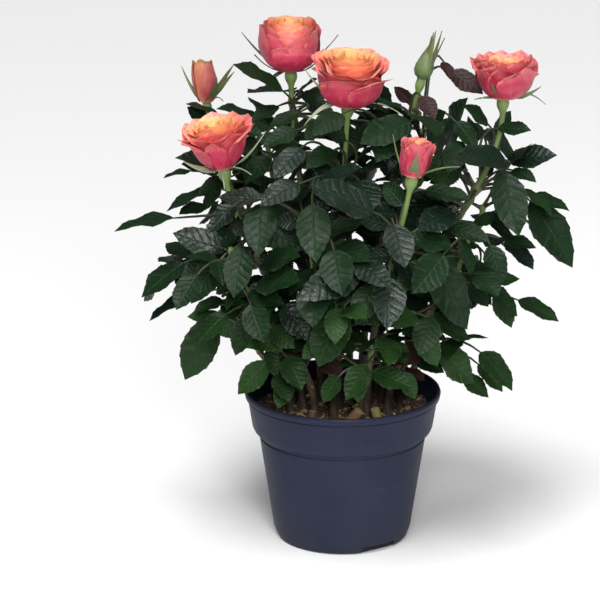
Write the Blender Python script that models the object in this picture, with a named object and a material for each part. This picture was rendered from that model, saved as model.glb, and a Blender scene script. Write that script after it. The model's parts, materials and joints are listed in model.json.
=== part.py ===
"""A potted patio rose: a nursery pot of soil, and canes that carry compound leaves, open roses and buds.

Metres, +Z up. The origin is the middle of the pot's flat underside, and the plant's front is its -Y side.
Every cane is one smooth curve. Its bare lower part is a limb, the leafy part above is a mass with its own
stem, and the part above the last leaf is the stalk of its flower. Leaves are placed by a seeded rule that
turns each one until it is clear of everything that already grows there.
"""

import math
import random
from dataclasses import dataclass, replace

import bmesh
import bpy
from mathutils import Vector
from mathutils.bvhtree import BVHTree

GAP = 0.0003  # clearance between pieces that meet

# The pot, a 13 cm nursery pot with a collar, measured outside
POT_HEIGHT = 0.101
LIP_RADIUS = 0.065
COLLAR_TOP_RADIUS = 0.0623
COLLAR_FOOT_RADIUS = 0.0599
BODY_TOP_RADIUS = 0.0552
BODY_FOOT_RADIUS = 0.0458
BASE_RADIUS = 0.041
COLLAR_TOP = 0.092
COLLAR_FOOT = 0.077
BODY_TOP = 0.071
BODY_FOOT = 0.007
WALL = 0.0014
LIP_WIDTH = 0.0022
FLOOR_THICKNESS = 0.0045
POT_SIDES = 40
DRAIN_COUNT = 3
DRAIN_AZIMUTH = -57.0  # the first drain notch, degrees round from +X
DRAIN_SIZE = (0.012, 0.026, 0.0076)

# The soil
SOIL_LEVEL = 0.090
SOIL_RIM_DROP = 0.0025
SOIL_RIM_WIDTH = 0.010
SOIL_SIDES = 28

# The crown's body, which only the tips of the furthest leaves and the flowers grow out of:
# height, and how far it reaches to the left, to the right, and to the front and back
CROWN = (
    (0.126, 0.100, 0.092, 0.078),
    (0.170, 0.124, 0.112, 0.106),
    (0.205, 0.114, 0.140, 0.116),
    (0.240, 0.100, 0.130, 0.110),
    (0.270, 0.078, 0.108, 0.092),
    (0.300, 0.060, 0.098, 0.068),
)
CROWN_EDGE = 0.05  # height beyond either end over which a point counts as one crown further out

# Canes and stalks
CANE_FOOT_RADIUS, CANE_TIP_RADIUS = 0.0027, 0.0016
CANE_SWELL = 1.35  # of the radius where a cane leaves the soil
CANE_RISE, CANE_DRIFT = 0.40, 0.05  # how straight it starts: shares of its height and of its way to the tip
CANE_LEAN = 0.30  # share of its height over which it takes on the lean of its tip
FLOWER_STALK_RADIUS = 0.0020
CANE_SIDES, STEM_SIDES, STALK_SIDES = 6, 4, 5
CANE_RINGS, STEM_RINGS, STALK_RINGS = 5, 7, 3

# Compound leaves: a stalk with leaflets in pairs and one at the end
LEAF_STALK = 0.048
STALK_SIDES_OF_LEAF = 3
PAIR_SHARES = (0.42, 0.75)  # where on the stalk the side leaflets grow
PAIR_SIZES = (0.78, 0.92)  # against the end leaflet
PAIR_STRETCH = 0.0016  # length of stalk that a leaflet grows out of
TWIG_RADIUS, TWIG_ROOT_RADIUS = 0.0010, 0.0008
LEAFLET_LENGTH, LEAFLET_WIDTH = 0.042, 0.027
LEAFLET_THICKNESS = 0.0011
FOLD = 0.20  # rise of a blade's edges against the half width
BLADE_SWELL, BLADE_SPREAD = 0.40, 1.26  # where a solid blade is widest, and how wide against the true one
CLEAR_OUTLINE = ((0.20, 0.90), (BLADE_SWELL, 1.17), (0.66, 0.82))  # share of the length, and of the half width
LEAF_BEND, BEND_POWER = 46.0, 1.3  # degrees that a stalk bends down towards its end, late rather than early
SIDE_ROLL = 13.0  # degrees that side leaflets face away from the stalk
LIGHT = Vector((0.0, -0.45, 1.0))  # faces turn this way
OUTWARD, HEADING_WEIGHT = 0.65, 0.03  # and so far outwards
SIDE_SUNWARD = 0.3  # how much more a side leaflet turns to the light than its stalk

# What differs from leaf to leaf: the usual value, and how far it strays to either side
SWING = (0.0, 27.0)  # degrees that the stalk winds sideways
ROLL = (0.0, 16.0)
SIDE_ANGLE = (62.0, 8.0)  # between the stalk and a side leaflet
SIDE_DROOP = (0.20, 0.14)
SIDE_CURL = (0.13, 0.08)  # fall of the tip against the length
END_BEND = (1.10, 0.12)  # against the bend of the stalk
END_ROLL = (0.0, 18.0)
END_CURL = (0.15, 0.10)
ROOT_TURN = (0.0, 20.0)
ROOT_LIFT = (34.0, 10.0)
QUIRKS = 11

# How leaves follow one another down a cane
LEAF_STEP, SHOOT_STEP = 137.5, 78.0  # degrees from one leaf to the next, and from one cane to the next
LIFT_LOSS = 26.0  # degrees that the lowest leaf would start off lower
BARE_END = 0.03  # share of a cane without leaves at either end of its leafy part

# Where a leaf in the crown's body may turn, and what each change costs it
LEAF_TURNS = (0, 24, -24, 48, -48, 76, -76, 108, -108, 145, -145)
LEAF_LIFTS = (0, 16, -16)
LEAF_SIZES = (1.06, 0.92, 0.80)
LEAST_LEAFLETS = 3
TURN_COST, LIFT_COST = 1 / 60, 1 / 40  # for a degree
INWARD_COST = 0.8
SMALLER_COST = 0.8
OUTSIDE_COST = 8.0
LOST_COST = 1.4  # for a leaflet that finds no room

# Where a leaf that reaches for a point may start, and what else counts against the metres it misses by
AIM_SHARES, AIM_LIFTS, AIM_SIZES = 9, range(-30, 85, 7), (0.80, 0.90, 1.00, 1.10, 1.25)
AIM_LEAD = 15.0  # degrees it starts off against its swing
AIM_TRIES = 60
AIM_SIZE_COST, AIM_LOST_COST = 0.012, 0.003

CLEAR_OF_BLADE, CLEAR_OF_LIMB, CLEAR_OF_FLOWER = 0.0006, 0.0008, 0.0020
CLEAR_OF_POT, CLEAR_OF_SOIL = 0.0018, 0.0022
GUARD_STEPS, GUARD_STRETCH = 15, 3  # pieces that a cane is watched in
NO_COST_YET = 1e9


@dataclass
class Shoot:
    """A cane: where it leaves the soil, where it ends, its leaves and what it flowers with."""

    name: str
    foot: tuple
    tip: tuple
    leaves: int  # besides those that reach furthest
    leafy_from: float = 0.36
    leafy_to: float = 1.0
    flower: str = ""
    tilt: tuple = (0.0, 0.0)  # how far the flower's axis leans towards +X and +Y
    reaches: tuple = ()  # the tips of its furthest leaves
    scale: float = 1.0  # of its leaves


SHOOTS = (
    Shoot(
        "top", foot=(-0.014, 0.012), tip=(-0.034, 0.030, 0.3000), leaves=5, leafy_from=0.38,
        leafy_to=0.95, flower="rose_small", tilt=(-0.02, 0.02),
        reaches=((-0.072, 0.030, 0.315), (-0.061, 0.020, 0.297), (-0.008, 0.034, 0.300)),
    ),
    Shoot(
        "centre", foot=(-0.003, -0.008), tip=(0.002, -0.010, 0.2865), leaves=7, leafy_from=0.34,
        leafy_to=0.80, flower="rose_large", tilt=(0.05, -0.08),
    ),
    Shoot(
        "left", foot=(-0.026, -0.008), tip=(-0.075, -0.030, 0.2495), leaves=4, leafy_to=0.82,
        flower="rose_middle", tilt=(-0.20, -0.06),
        reaches=((-0.117, 0.000, 0.244), (-0.108, -0.020, 0.264)),
    ),
    Shoot(
        "right", foot=(0.026, 0.003), tip=(0.102, 0.000, 0.2885), leaves=4, leafy_to=0.82,
        flower="rose_wide", tilt=(0.02, -0.02),
        reaches=((0.138, 0.000, 0.260), (0.121, 0.010, 0.275), (0.094, 0.020, 0.292)),
    ),
    Shoot(
        "upper_left", foot=(-0.026, 0.012), tip=(-0.088, 0.020, 0.2815), leaves=3, leafy_to=0.86,
        flower="bud_colour", tilt=(-0.10, 0.02),
        reaches=((-0.103, 0.030, 0.287), (-0.079, 0.010, 0.290)),
    ),
    Shoot(
        "front", foot=(0.015, -0.022), tip=(0.040, -0.070, 0.2545), leaves=6, leafy_to=0.80,
        flower="bud_open", tilt=(0.16, -0.04),
    ),
    Shoot(
        "upper_right", foot=(0.012, 0.009), tip=(0.048, 0.010, 0.2990), leaves=6, leafy_from=0.38,
        leafy_to=0.95, flower="bud_green", tilt=(0.24, 0.0),
        reaches=((0.083, 0.000, 0.299), (0.066, -0.010, 0.288)),
    ),
    Shoot(
        "left_front", foot=(-0.018, -0.024), tip=(-0.072, -0.052, 0.212), leaves=4, leafy_from=0.38,
        reaches=((-0.131, -0.030, 0.174), (-0.101, -0.050, 0.185)),
    ),
    Shoot(
        "right_front", foot=(0.029, -0.018), tip=(0.078, -0.050, 0.222), leaves=4, leafy_from=0.38,
        reaches=((0.125, -0.020, 0.203), (0.113, -0.030, 0.214), (0.078, -0.060, 0.161)),
    ),
    Shoot("middle_front", foot=(-0.006, -0.027), tip=(-0.022, -0.058, 0.230), leaves=6),
    Shoot("left_back", foot=(-0.012, 0.027), tip=(-0.050, 0.056, 0.262), leaves=6, leafy_from=0.40),
    Shoot("right_back", foot=(0.022, 0.025), tip=(0.054, 0.056, 0.264), leaves=6, leafy_from=0.40),
    Shoot("middle_back", foot=(0.005, 0.030), tip=(0.004, 0.060, 0.266), leaves=6, leafy_from=0.40),
    Shoot(
        "far_left", foot=(-0.035, 0.004), tip=(-0.088, 0.012, 0.210), leaves=2, leafy_from=0.42,
        reaches=((-0.151, 0.000, 0.210), (-0.127, 0.000, 0.147), (-0.114, 0.010, 0.219)),
    ),
    Shoot(
        "far_right", foot=(0.036, 0.011), tip=(0.092, 0.024, 0.220), leaves=3, leafy_from=0.42,
        reaches=((0.149, 0.000, 0.184), (0.147, 0.010, 0.222), (0.139, -0.020, 0.153)),
    ),
    Shoot(
        "low_left", foot=(-0.034, -0.018), tip=(-0.060, -0.042, 0.156), leaves=1, leafy_from=0.48, scale=0.82,
        reaches=((-0.098, -0.060, 0.131), (-0.070, -0.060, 0.124)),
    ),
    Shoot(
        "low_front", foot=(0.010, -0.036), tip=(0.018, -0.044, 0.146), leaves=2, leafy_from=0.50, scale=0.72,
        reaches=((0.020, -0.066, 0.124),),
    ),
    Shoot(
        "low_right", foot=(0.038, -0.010), tip=(0.066, -0.036, 0.166), leaves=1, leafy_from=0.46, scale=0.82,
        reaches=((0.102, -0.050, 0.118), (0.080, -0.060, 0.150), (0.092, -0.060, 0.114)),
    ),
    Shoot("low_back", foot=(-0.004, 0.042), tip=(-0.006, 0.062, 0.150), leaves=3, leafy_from=0.50, scale=0.85),
)
SEED = 18

# Flower heads
ROSE_PROFILE = ((0.00, 0.30), (0.20, 0.80), (0.55, 0.92), (0.94, 0.84), (0.86, 0.45))  # height, radius
BUD_PROFILE = ((0.00, 0.40), (0.18, 0.88), (0.45, 1.00), (0.94, 0.30))
PRESSED_SEPAL = ((1.02, 0.35), (0.50, 1.25))  # radius and height, halfway along and at the tip
UPRIGHT_SEPAL = ((1.05, 0.20), (1.50, 0.70))
BENT_SEPAL = (0.85, 1.35)  # radius only: it bends down under the flower
SEPAL_COUNT, SEPAL_THICKNESS = 5, 0.0005
SEPAL_ROOT, SEPAL_SINK = 0.0015, 0.0010  # out from the axis, and down from the hip's top
SEPAL_DIP, SEPAL_FALL, SEPAL_STEP = 0.0015, 0.008, 0.007  # of a bent sepal, and from one to the next
HIP_HEIGHT, HIP_SWELL = 0.010, 0.0035
HEART_SIDES, HEART_RIPPLE, HEART_SINK = 8, 0.04, 0.0015
RIPPLE_FOLDS, RIPPLE_TURN = 5, 1.9
PETAL_THICKNESS, PETAL_SINK = 0.0007, 0.0005
PETAL_WIDTH, PETAL_WIDTHS = 0.62, (0.6, 1.0, 0.5)  # against the radius, and from root to edge
PETAL_ROOT, PETAL_MIDDLE = (0.60, 0.16), (1.00, 0.55)  # radius and height
PETAL_EDGE, PETAL_DROP, PETAL_FLARE = (1.08, 0.92), 0.25, (0.6, 0.4)
PETAL_SHIFT = 0.3  # of the space between two, for every other petal
EDGE_HUG = 0.42  # how far the edges of petals and sepals bend back round the axis


@dataclass
class Head:
    """A flower head: the bloom's radius and height, its guard petals and how far they open."""

    radius: float
    height: float
    petals: int = 0
    opening: float = 0.0
    profile: tuple = ROSE_PROFILE
    hip_radius: float = 0.0040
    sepal: tuple = BENT_SEPAL
    sepal_width: float = 0.0030


HEADS = {
    "rose_small": Head(0.0192, 0.0365, petals=5, opening=0.06),
    "rose_large": Head(0.0218, 0.0360, petals=5, opening=0.18),
    "rose_middle": Head(0.0200, 0.0320, petals=5, opening=0.24),
    "rose_wide": Head(0.0200, 0.0275, petals=5, opening=0.24),
    "bud_open": Head(0.0106, 0.0240, petals=4, opening=0.10),
    "bud_colour": Head(
        0.0096, 0.0310, profile=BUD_PROFILE, hip_radius=0.0030, sepal=UPRIGHT_SEPAL, sepal_width=0.0022
    ),
    "bud_green": Head(
        0.0062, 0.0240, profile=BUD_PROFILE, hip_radius=0.0030, sepal=PRESSED_SEPAL, sepal_width=0.0022
    ),
}

# Old stumps in the soil: place, radius, height and lean
STUMPS = (
    ("stump_woody", (0.000, -0.040), 0.0036, 0.010, (0.8, -0.2)),
    ("stump_green", (0.024, -0.034), 0.0030, 0.009, (-0.3, -0.1)),
    ("stump_old", (-0.022, -0.038), 0.0026, 0.008, (0.2, 0.1)),
)


# Shapes, each a pair of points and faces


def heading(azimuth, lift):
    """The unit vector that points azimuth degrees round from +X and lift degrees above level."""
    turn, rise = math.radians(azimuth), math.radians(lift)
    return Vector((math.cos(turn) * math.cos(rise), math.sin(turn) * math.cos(rise), math.sin(rise)))


def loft(rings):
    """A closed skin through rings of points. A ring of one point is a tip."""
    points, faces, rows = [], [], []
    for ring in rings:
        rows.append(range(len(points), len(points) + len(ring)))
        points.extend(ring)
    for near, far in zip(rows, rows[1:]):
        count = max(len(near), len(far))
        for i in range(count):
            j = (i + 1) % count
            corners = (near[i % len(near)], near[j % len(near)], far[j % len(far)], far[i % len(far)])
            faces.append(tuple(dict.fromkeys(corners)))
    if len(rows[0]) > 1:
        faces.append(tuple(reversed(rows[0])))
    if len(rows[-1]) > 1:
        faces.append(tuple(rows[-1]))
    return points, faces


def tube(path, radii, sides):
    """A tapering round limb along a path."""
    rings = []
    across = Vector((1.0, 0.0, 0.0))
    for i, centre in enumerate(path):
        ahead = (path[min(i + 1, len(path) - 1)] - path[max(i - 1, 0)]).normalized()
        across = (across - ahead * across.dot(ahead)).normalized()
        up = ahead.cross(across)
        turns = [2 * math.pi * k / sides for k in range(sides)]
        rings.append([centre + (across * math.cos(a) + up * math.sin(a)) * radii[i] for a in turns])
    return loft(rings)


def cane_point(shoot, share):
    """The point a share of the way along a cane, from its foot in the soil to its tip."""
    foot = Vector((*shoot.foot, SOIL_LEVEL + GAP))
    tip = Vector(shoot.tip)
    rise = tip.z - foot.z
    lean = Vector((shoot.tilt[0], shoot.tilt[1], 1.0)).normalized()
    first = foot + Vector((0.0, 0.0, CANE_RISE * rise)) + (tip - foot) * CANE_DRIFT
    last = tip - lean * CANE_LEAN * rise
    a, b = 1 - share, share
    return foot * a**3 + first * 3 * a * a * b + last * 3 * a * b * b + tip * b**3


def cane_path(shoot, start, end, count):
    return [cane_point(shoot, start + (end - start) * i / (count - 1)) for i in range(count)]


def cane_radius(share):
    return CANE_FOOT_RADIUS + (CANE_TIP_RADIUS - CANE_FOOT_RADIUS) * share


# Leaves


@dataclass
class Leaflet:
    """One blade: its base, the ways it points and faces, its size and how far its tip curls down."""

    base: Vector
    ahead: Vector
    face: Vector
    length: float
    width: float
    curl: float
    pair: int  # the pair it belongs to, or the number of pairs for the end leaflet
    side: int  # 1 on the left of the stalk, -1 on the right, 0 at the end

    def point(self, across, along, lift=0.0):
        """The point a share across (-1 to 1 of the half width) and along the blade."""
        half = self.width / 2 * across
        rise = FOLD * abs(half) - self.curl * self.length * along * along + lift
        left = self.face.cross(self.ahead)
        return self.base + self.ahead * self.length * along + left * half + self.face * rise

    def clearance(self):
        """The blade made larger all round, as other leaves must clear it."""
        base = self.base + self.ahead * TWIG_RADIUS
        grown = replace(self, base=base, width=self.width + 2 * CLEAR_OF_BLADE)
        half = LEAFLET_THICKNESS / 2 + CLEAR_OF_BLADE
        rings = [
            [
                grown.point(-across, along),
                grown.point(0, along, half),
                grown.point(across, along),
                grown.point(0, along, -half),
            ]
            for along, across in CLEAR_OUTLINE
        ]
        return loft([[grown.point(0, 0)], *rings, [grown.point(0, 1)]])


def facing(ahead, sunward, roll):
    """The way a blade that points ahead faces: square to it, towards the light, then rolled by degrees."""
    face = (sunward - ahead * sunward.dot(ahead)).normalized()
    turn = math.radians(roll)
    return face * math.cos(turn) + face.cross(ahead) * math.sin(turn)


@dataclass
class Leaf:
    """A compound leaf: the points of its stalk, the way it faces, and its leaflets with the end one last."""

    stalk: list
    face: Vector
    leaflets: list

    def tip(self):
        return self.leaflets[-1].point(0, 1)

    def stalk_clearance(self):
        """The stalk beyond its root, made thicker all round."""
        path = [self.stalk[0].lerp(self.stalk[1], 0.25), *self.stalk[1:]]
        return tube(path, [TWIG_RADIUS + CLEAR_OF_LIMB] * len(path), STALK_SIDES_OF_LEAF)

    def shape(self):
        """One closed skin: a stalk of three sides, and blades that grow out of its flanks and its end."""
        points, faces = [], []

        def ring(centre, ahead, radius):
            up = (self.face - ahead * self.face.dot(ahead)).normalized()
            right = ahead.cross(up)
            start = len(points)
            for k in range(STALK_SIDES_OF_LEAF):
                a = 2 * math.pi * k / STALK_SIDES_OF_LEAF
                points.append(centre + (up * math.cos(a) + right * math.sin(a)) * radius)
            return start, start + 1, start + 2

        def bridge(near, far):
            for i in range(len(near)):
                j = (i + 1) % len(near)
                corners = (near[i], near[j], far[j % len(far)], far[i % len(far)])
                faces.append(tuple(dict.fromkeys(corners)))

        def grow_blade(leaflet, loop):
            start = len(points)
            half = LEAFLET_THICKNESS / 2
            for across, lift in ((0, half), (-BLADE_SPREAD, 0), (0, -half), (BLADE_SPREAD, 0)):
                points.append(leaflet.point(across, BLADE_SWELL, lift))
            points.append(leaflet.point(0, 1))
            rim = (start, start + 1, start + 2, start + 3)
            bridge(loop, rim)
            bridge(rim, (start + 4,))

        blades = {(leaflet.pair, leaflet.side): leaflet for leaflet in self.leaflets}
        last = ring(self.stalk[0], (self.stalk[1] - self.stalk[0]).normalized(), TWIG_ROOT_RADIUS)
        faces.append(tuple(reversed(last)))
        for pair in range(len(PAIR_SHARES)):
            centre = self.stalk[pair + 1]
            ahead = (self.stalk[pair + 2] - self.stalk[pair]).normalized()
            near = ring(centre - ahead * PAIR_STRETCH / 2, ahead, TWIG_RADIUS)
            far = ring(centre + ahead * PAIR_STRETCH / 2, ahead, TWIG_RADIUS)
            bridge(last, near)
            faces.append((near[1], near[2], far[2], far[1]))
            right_flank = (near[0], near[1], far[1], far[0])
            left_flank = (far[0], far[2], near[2], near[0])
            for side, flank in ((-1, right_flank), (1, left_flank)):
                if (pair, side) in blades:
                    grow_blade(blades[pair, side], flank)
                else:
                    faces.append(flank)
            last = far
        top, right, left = ring(self.stalk[-1], (self.stalk[-1] - self.stalk[-2]).normalized(), TWIG_RADIUS)
        bridge(last, (top, right, left))
        grow_blade(self.leaflets[-1], (top, right, right, left))
        return points, faces


def stray(value, quirk):
    """A value that differs from leaf to leaf, for a quirk from -1 to 1."""
    usual, spread = value
    return usual + spread * quirk


def plan_leaf(root, azimuth, lift, size, quirks):
    """A compound leaf that starts off along these headings. Its quirks are numbers from -1 to 1."""
    outward = Vector((root.x, root.y, 0.0)) + heading(azimuth, 0) * HEADING_WEIGHT
    sunward = LIGHT + outward.normalized() * OUTWARD
    swing = stray(SWING, quirks[0])
    shares = (0.0, *PAIR_SHARES, 1.0)
    stalk = [root]
    for near, far in zip(shares, shares[1:]):
        fall = LEAF_BEND * (0.5 * (near + far)) ** BEND_POWER
        stretch = LEAF_STALK * size * (far - near)
        stalk.append(stalk[-1] + heading(azimuth + swing * near, lift - fall) * stretch)
    leaflets = []
    for pair, scale in enumerate(PAIR_SIZES):
        ahead = (stalk[pair + 2] - stalk[pair]).normalized()
        face = facing(ahead, sunward, stray(ROLL, quirks[1]))
        angle = math.radians(stray(SIDE_ANGLE, quirks[2 + pair]))
        droop = stray(SIDE_DROOP, quirks[4 + pair])
        curl = stray(SIDE_CURL, quirks[6 + pair])
        length, width = LEAFLET_LENGTH * scale * size, LEAFLET_WIDTH * scale * size
        for side in (1, -1):
            aside = ahead * math.cos(angle) + face.cross(ahead) * math.sin(angle) * side
            point = (aside - face * droop).normalized()
            blade_face = facing(point, face + sunward * SIDE_SUNWARD, SIDE_ROLL * side)
            leaflets.append(Leaflet(stalk[pair + 1], point, blade_face, length, width, curl, pair, side))
    ahead = heading(azimuth + swing, lift - LEAF_BEND * stray(END_BEND, quirks[8]))
    face = facing(ahead, sunward, stray(END_ROLL, quirks[9]))
    curl = stray(END_CURL, quirks[10])
    length, width = LEAFLET_LENGTH * size, LEAFLET_WIDTH * size
    end = Leaflet(stalk[-1], ahead, face, length, width, curl, len(PAIR_SIZES), 0)
    return Leaf(stalk, face, [*leaflets, end])


class Room:
    """What already stands in the crown. Each thing is kept as a tree of faces with a ball round it."""

    def __init__(self):
        self.things = []

    @staticmethod
    def wrap(shape, owner):
        points, faces = shape
        centre = sum(points, Vector()) / len(points)
        radius = max((p - centre).length for p in points)
        return BVHTree.FromPolygons(points, faces), centre, radius, owner

    def add(self, shape, owner):
        self.things.append(self.wrap(shape, owner))

    def add_leaf(self, leaf, owner):
        self.add(leaf.stalk_clearance(), owner)
        for leaflet in leaf.leaflets:
            self.add(leaflet.clearance(), owner + "_leaf")

    def touches(self, shape, but_not=None):
        tree, centre, radius, _ = self.wrap(shape, None)
        return any(
            owner != but_not and (centre - there).length < radius + reach and tree.overlap(other)
            for other, there, reach, owner in self.things
        )

    def clear_part(self, shoot, leaf):
        """The leaf with the leaflets that find room, or None where its stalk or its end leaflet finds none."""
        if self.touches(leaf.stalk_clearance(), shoot.name) or self.touches(leaf.leaflets[-1].clearance()):
            return None
        kept = [leaf.leaflets[-1]]
        for leaflet in leaf.leaflets[:-1]:
            shape = leaflet.clearance()
            tree = BVHTree.FromPolygons(*shape)
            beside = [other.clearance() for other in kept if other.side in (leaflet.side, 0)]
            crossed = any(tree.overlap(BVHTree.FromPolygons(*other)) for other in beside)
            if not crossed and not self.touches(shape):
                kept.insert(-1, leaflet)
        return replace(leaf, leaflets=kept)


def outside_share(point):
    """How far out in the crown's body a point lies, 1 at its skin."""
    height = max(CROWN[0][0], min(CROWN[-1][0], point.z))
    for low, high in zip(CROWN, CROWN[1:]):
        if low[0] <= height <= high[0]:
            share = (height - low[0]) / (high[0] - low[0])
            left, right, deep = (a + (b - a) * share for a, b in zip(low[1:], high[1:]))
    wide = right if point.x > 0 else left
    return math.hypot(point.x / wide, point.y / deep) + abs(point.z - height) / CROWN_EDGE


def fill_leaf(room, shoot, share, azimuth, lift, quirks):
    """The leaf within the crown's body that fits best near these headings, or None."""
    root = cane_point(shoot, share)
    outward = Vector((root.x, root.y, 0.0)).normalized()
    best, best_cost = None, NO_COST_YET
    for turn in LEAF_TURNS:
        inward = -outward.dot(heading(azimuth + turn, 0))
        for more in LEAF_LIFTS:
            cost_of_way = abs(turn) * TURN_COST + abs(more) * LIFT_COST + inward * INWARD_COST
            for number, size in enumerate(LEAF_SIZES):
                leaf = plan_leaf(root, azimuth + turn, lift + more, size * shoot.scale, quirks)
                over = sum(max(outside_share(leaflet.point(0, 1)) - 1, 0) for leaflet in leaf.leaflets)
                cost = cost_of_way + SMALLER_COST * number + OUTSIDE_COST * over
                if cost >= best_cost:
                    continue
                kept = room.clear_part(shoot, leaf)
                if kept is None or len(kept.leaflets) < LEAST_LEAFLETS:
                    continue
                cost += LOST_COST * (len(leaf.leaflets) - len(kept.leaflets))
                if cost < best_cost:
                    best, best_cost = kept, cost
    return best


def reach_leaf(room, shoot, tip, quirks):
    """The clear leaf from this shoot whose tip comes nearest to a point, or None."""
    plans = []
    first, last = shoot.leafy_from + BARE_END, shoot.leafy_to - BARE_END
    for i in range(AIM_SHARES):
        root = cane_point(shoot, first + (last - first) * i / (AIM_SHARES - 1))
        away = tip - root
        azimuth = math.degrees(math.atan2(away.y, away.x)) - AIM_LEAD * quirks[0]
        for lift in AIM_LIFTS:
            for size in AIM_SIZES:
                leaf = plan_leaf(root, azimuth, lift, size * shoot.scale, quirks)
                miss = (leaf.tip() - tip).length + AIM_SIZE_COST * abs(size - 1)
                plans.append((miss, len(plans), leaf))
    best, best_cost = None, NO_COST_YET
    for miss, _, leaf in sorted(plans, key=lambda plan: plan[:2])[:AIM_TRIES]:
        kept = room.clear_part(shoot, leaf)
        if kept is None:
            continue
        cost = miss + AIM_LOST_COST * (len(leaf.leaflets) - len(kept.leaflets))
        if cost < best_cost:
            best, best_cost = kept, cost
    return best


def grow_crown():
    """The leaves of each shoot: first the furthest ones, then the rest in turns from the top leaf down."""
    room = fill_room()
    leaves = {shoot.name: [] for shoot in SHOOTS}
    chance = random.Random(SEED)

    def settle(shoot, leaf):
        if leaf:
            room.add_leaf(leaf, shoot.name)
            leaves[shoot.name].append(leaf)

    for shoot in SHOOTS:
        for tip in shoot.reaches:
            quirks = [chance.uniform(-1, 1) for _ in range(QUIRKS)]
            settle(shoot, reach_leaf(room, shoot, Vector(tip), quirks))
    for turn in range(max(shoot.leaves for shoot in SHOOTS)):
        for number, shoot in enumerate(SHOOTS):
            quirks = [chance.uniform(-1, 1) for _ in range(QUIRKS)]
            if turn >= shoot.leaves:
                continue
            top, bottom = shoot.leafy_to - BARE_END, shoot.leafy_from + BARE_END
            share = top - (top - bottom) / max(shoot.leaves - 1, 1) * turn
            azimuth = LEAF_STEP * turn + SHOOT_STEP * number + stray(ROOT_TURN, quirks[3])
            lift = stray(ROOT_LIFT, quirks[5]) - LIFT_LOSS * (1 - share)
            settle(shoot, fill_leaf(room, shoot, share, azimuth, lift, quirks))
    return leaves


# Flowers


def head_frame(shoot):
    """Where a flower head starts, and its axis with the two ways across it."""
    axis = Vector((shoot.tilt[0], shoot.tilt[1], 1.0)).normalized()
    across = (Vector((1.0, 0.0, 0.0)) - axis * axis.x).normalized()
    return Vector(shoot.tip), axis, across, axis.cross(across)


def turned(shoot, start, profile, sides, ripple=0.0):
    """A body turned on the flower's axis from (height, radius) pairs, rippled into folds that wind round."""
    foot, axis, across, other = head_frame(shoot)
    rings = []
    for number, (height, radius) in enumerate(profile):
        ring = []
        for k in range(sides):
            a = 2 * math.pi * k / sides
            swell = radius * (1 + ripple * math.cos(RIPPLE_FOLDS * a + RIPPLE_TURN * number))
            ring.append(foot + axis * (start + height) + (across * math.cos(a) + other * math.sin(a)) * swell)
        rings.append(ring)
    return loft(rings)


def strap(shoot, azimuth, line, widths, thickness):
    """A petal or sepal: a thin solid that follows (out, up) points away from the axis, as wide as given."""
    foot, axis, across, other = head_frame(shoot)
    out = across * math.cos(azimuth) + other * math.sin(azimuth)
    side = axis.cross(out)
    rings = []
    for i, ((away, up), width) in enumerate(zip(line, widths)):
        centre = foot + out * away + axis * up
        if width == 0:
            rings.append([centre])
            continue
        before, after = line[max(i - 1, 0)], line[min(i + 1, len(line) - 1)]
        ahead = (out * (after[0] - before[0]) + axis * (after[1] - before[1])).normalized()
        face = ahead.cross(side)
        hug = out * width * width / max(away, width) * EDGE_HUG
        edges = (centre + side * width - hug, centre - side * width - hug)
        rings.append([edges[0], centre + face * thickness, edges[1], centre - face * thickness])
    return loft(rings)


def guard_petal(shoot, head, number):
    """One of the outer petals, every other one opened further."""
    odd = number % 2
    azimuth = 2 * math.pi * (number + PETAL_SHIFT * odd) / head.petals + 0.4
    flare = head.radius * (1.0 + head.opening * (PETAL_FLARE[0] + PETAL_FLARE[1] * odd))
    base = HIP_HEIGHT - PETAL_SINK
    line = (
        (head.radius * PETAL_ROOT[0], base + head.height * PETAL_ROOT[1]),
        (head.radius * PETAL_MIDDLE[0], base + head.height * PETAL_MIDDLE[1]),
        (flare * PETAL_EDGE[0], base + head.height * (PETAL_EDGE[1] - PETAL_DROP * head.opening)),
    )
    widths = [head.radius * PETAL_WIDTH * width for width in PETAL_WIDTHS]
    return strap(shoot, azimuth, line, widths, PETAL_THICKNESS)


def sepal(shoot, head, number):
    """A sepal: pressed to a green bud, upright on a young one, bent down under a rose."""
    base = HIP_HEIGHT - SEPAL_SINK
    if head.sepal is BENT_SEPAL:
        ups = (-SEPAL_DIP, SEPAL_STEP * (number % 3) - SEPAL_FALL)
        outs = head.sepal
    else:
        ups = [head.height * up for _, up in head.sepal]
        outs = [out for out, _ in head.sepal]
    line = ((SEPAL_ROOT, base), *((head.radius * out, base + up) for out, up in zip(outs, ups)))
    azimuth = 2 * math.pi * number / SEPAL_COUNT + 0.9
    return strap(shoot, azimuth, line, (0, head.sepal_width, 0), SEPAL_THICKNESS)


def flower_pieces(shoot):
    """The solids of a flower head: hip, heart, guard petals and sepals."""
    head = HEADS[shoot.flower]
    hip = [(-0.0008, FLOWER_STALK_RADIUS), (HIP_SWELL, head.hip_radius), (HIP_HEIGHT, head.hip_radius * 0.9)]
    heart = [(head.height * up, head.radius * out) for up, out in head.profile]
    return [
        turned(shoot, 0, hip, STALK_SIDES),
        turned(shoot, HIP_HEIGHT - HEART_SINK, heart, HEART_SIDES, HEART_RIPPLE),
        *(guard_petal(shoot, head, number) for number in range(head.petals)),
        *(sepal(shoot, head, number) for number in range(SEPAL_COUNT)),
    ]


# Pieces as objects


def finish(name, colour, roughness):
    material = bpy.data.materials.new(name)
    material.use_nodes = True
    shader = material.node_tree.nodes["Principled BSDF"]
    shader.inputs["Base Color"].default_value = (*colour, 1.0)
    shader.inputs["Roughness"].default_value = roughness
    shader.inputs["Metallic"].default_value = 0.0
    return material


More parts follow.
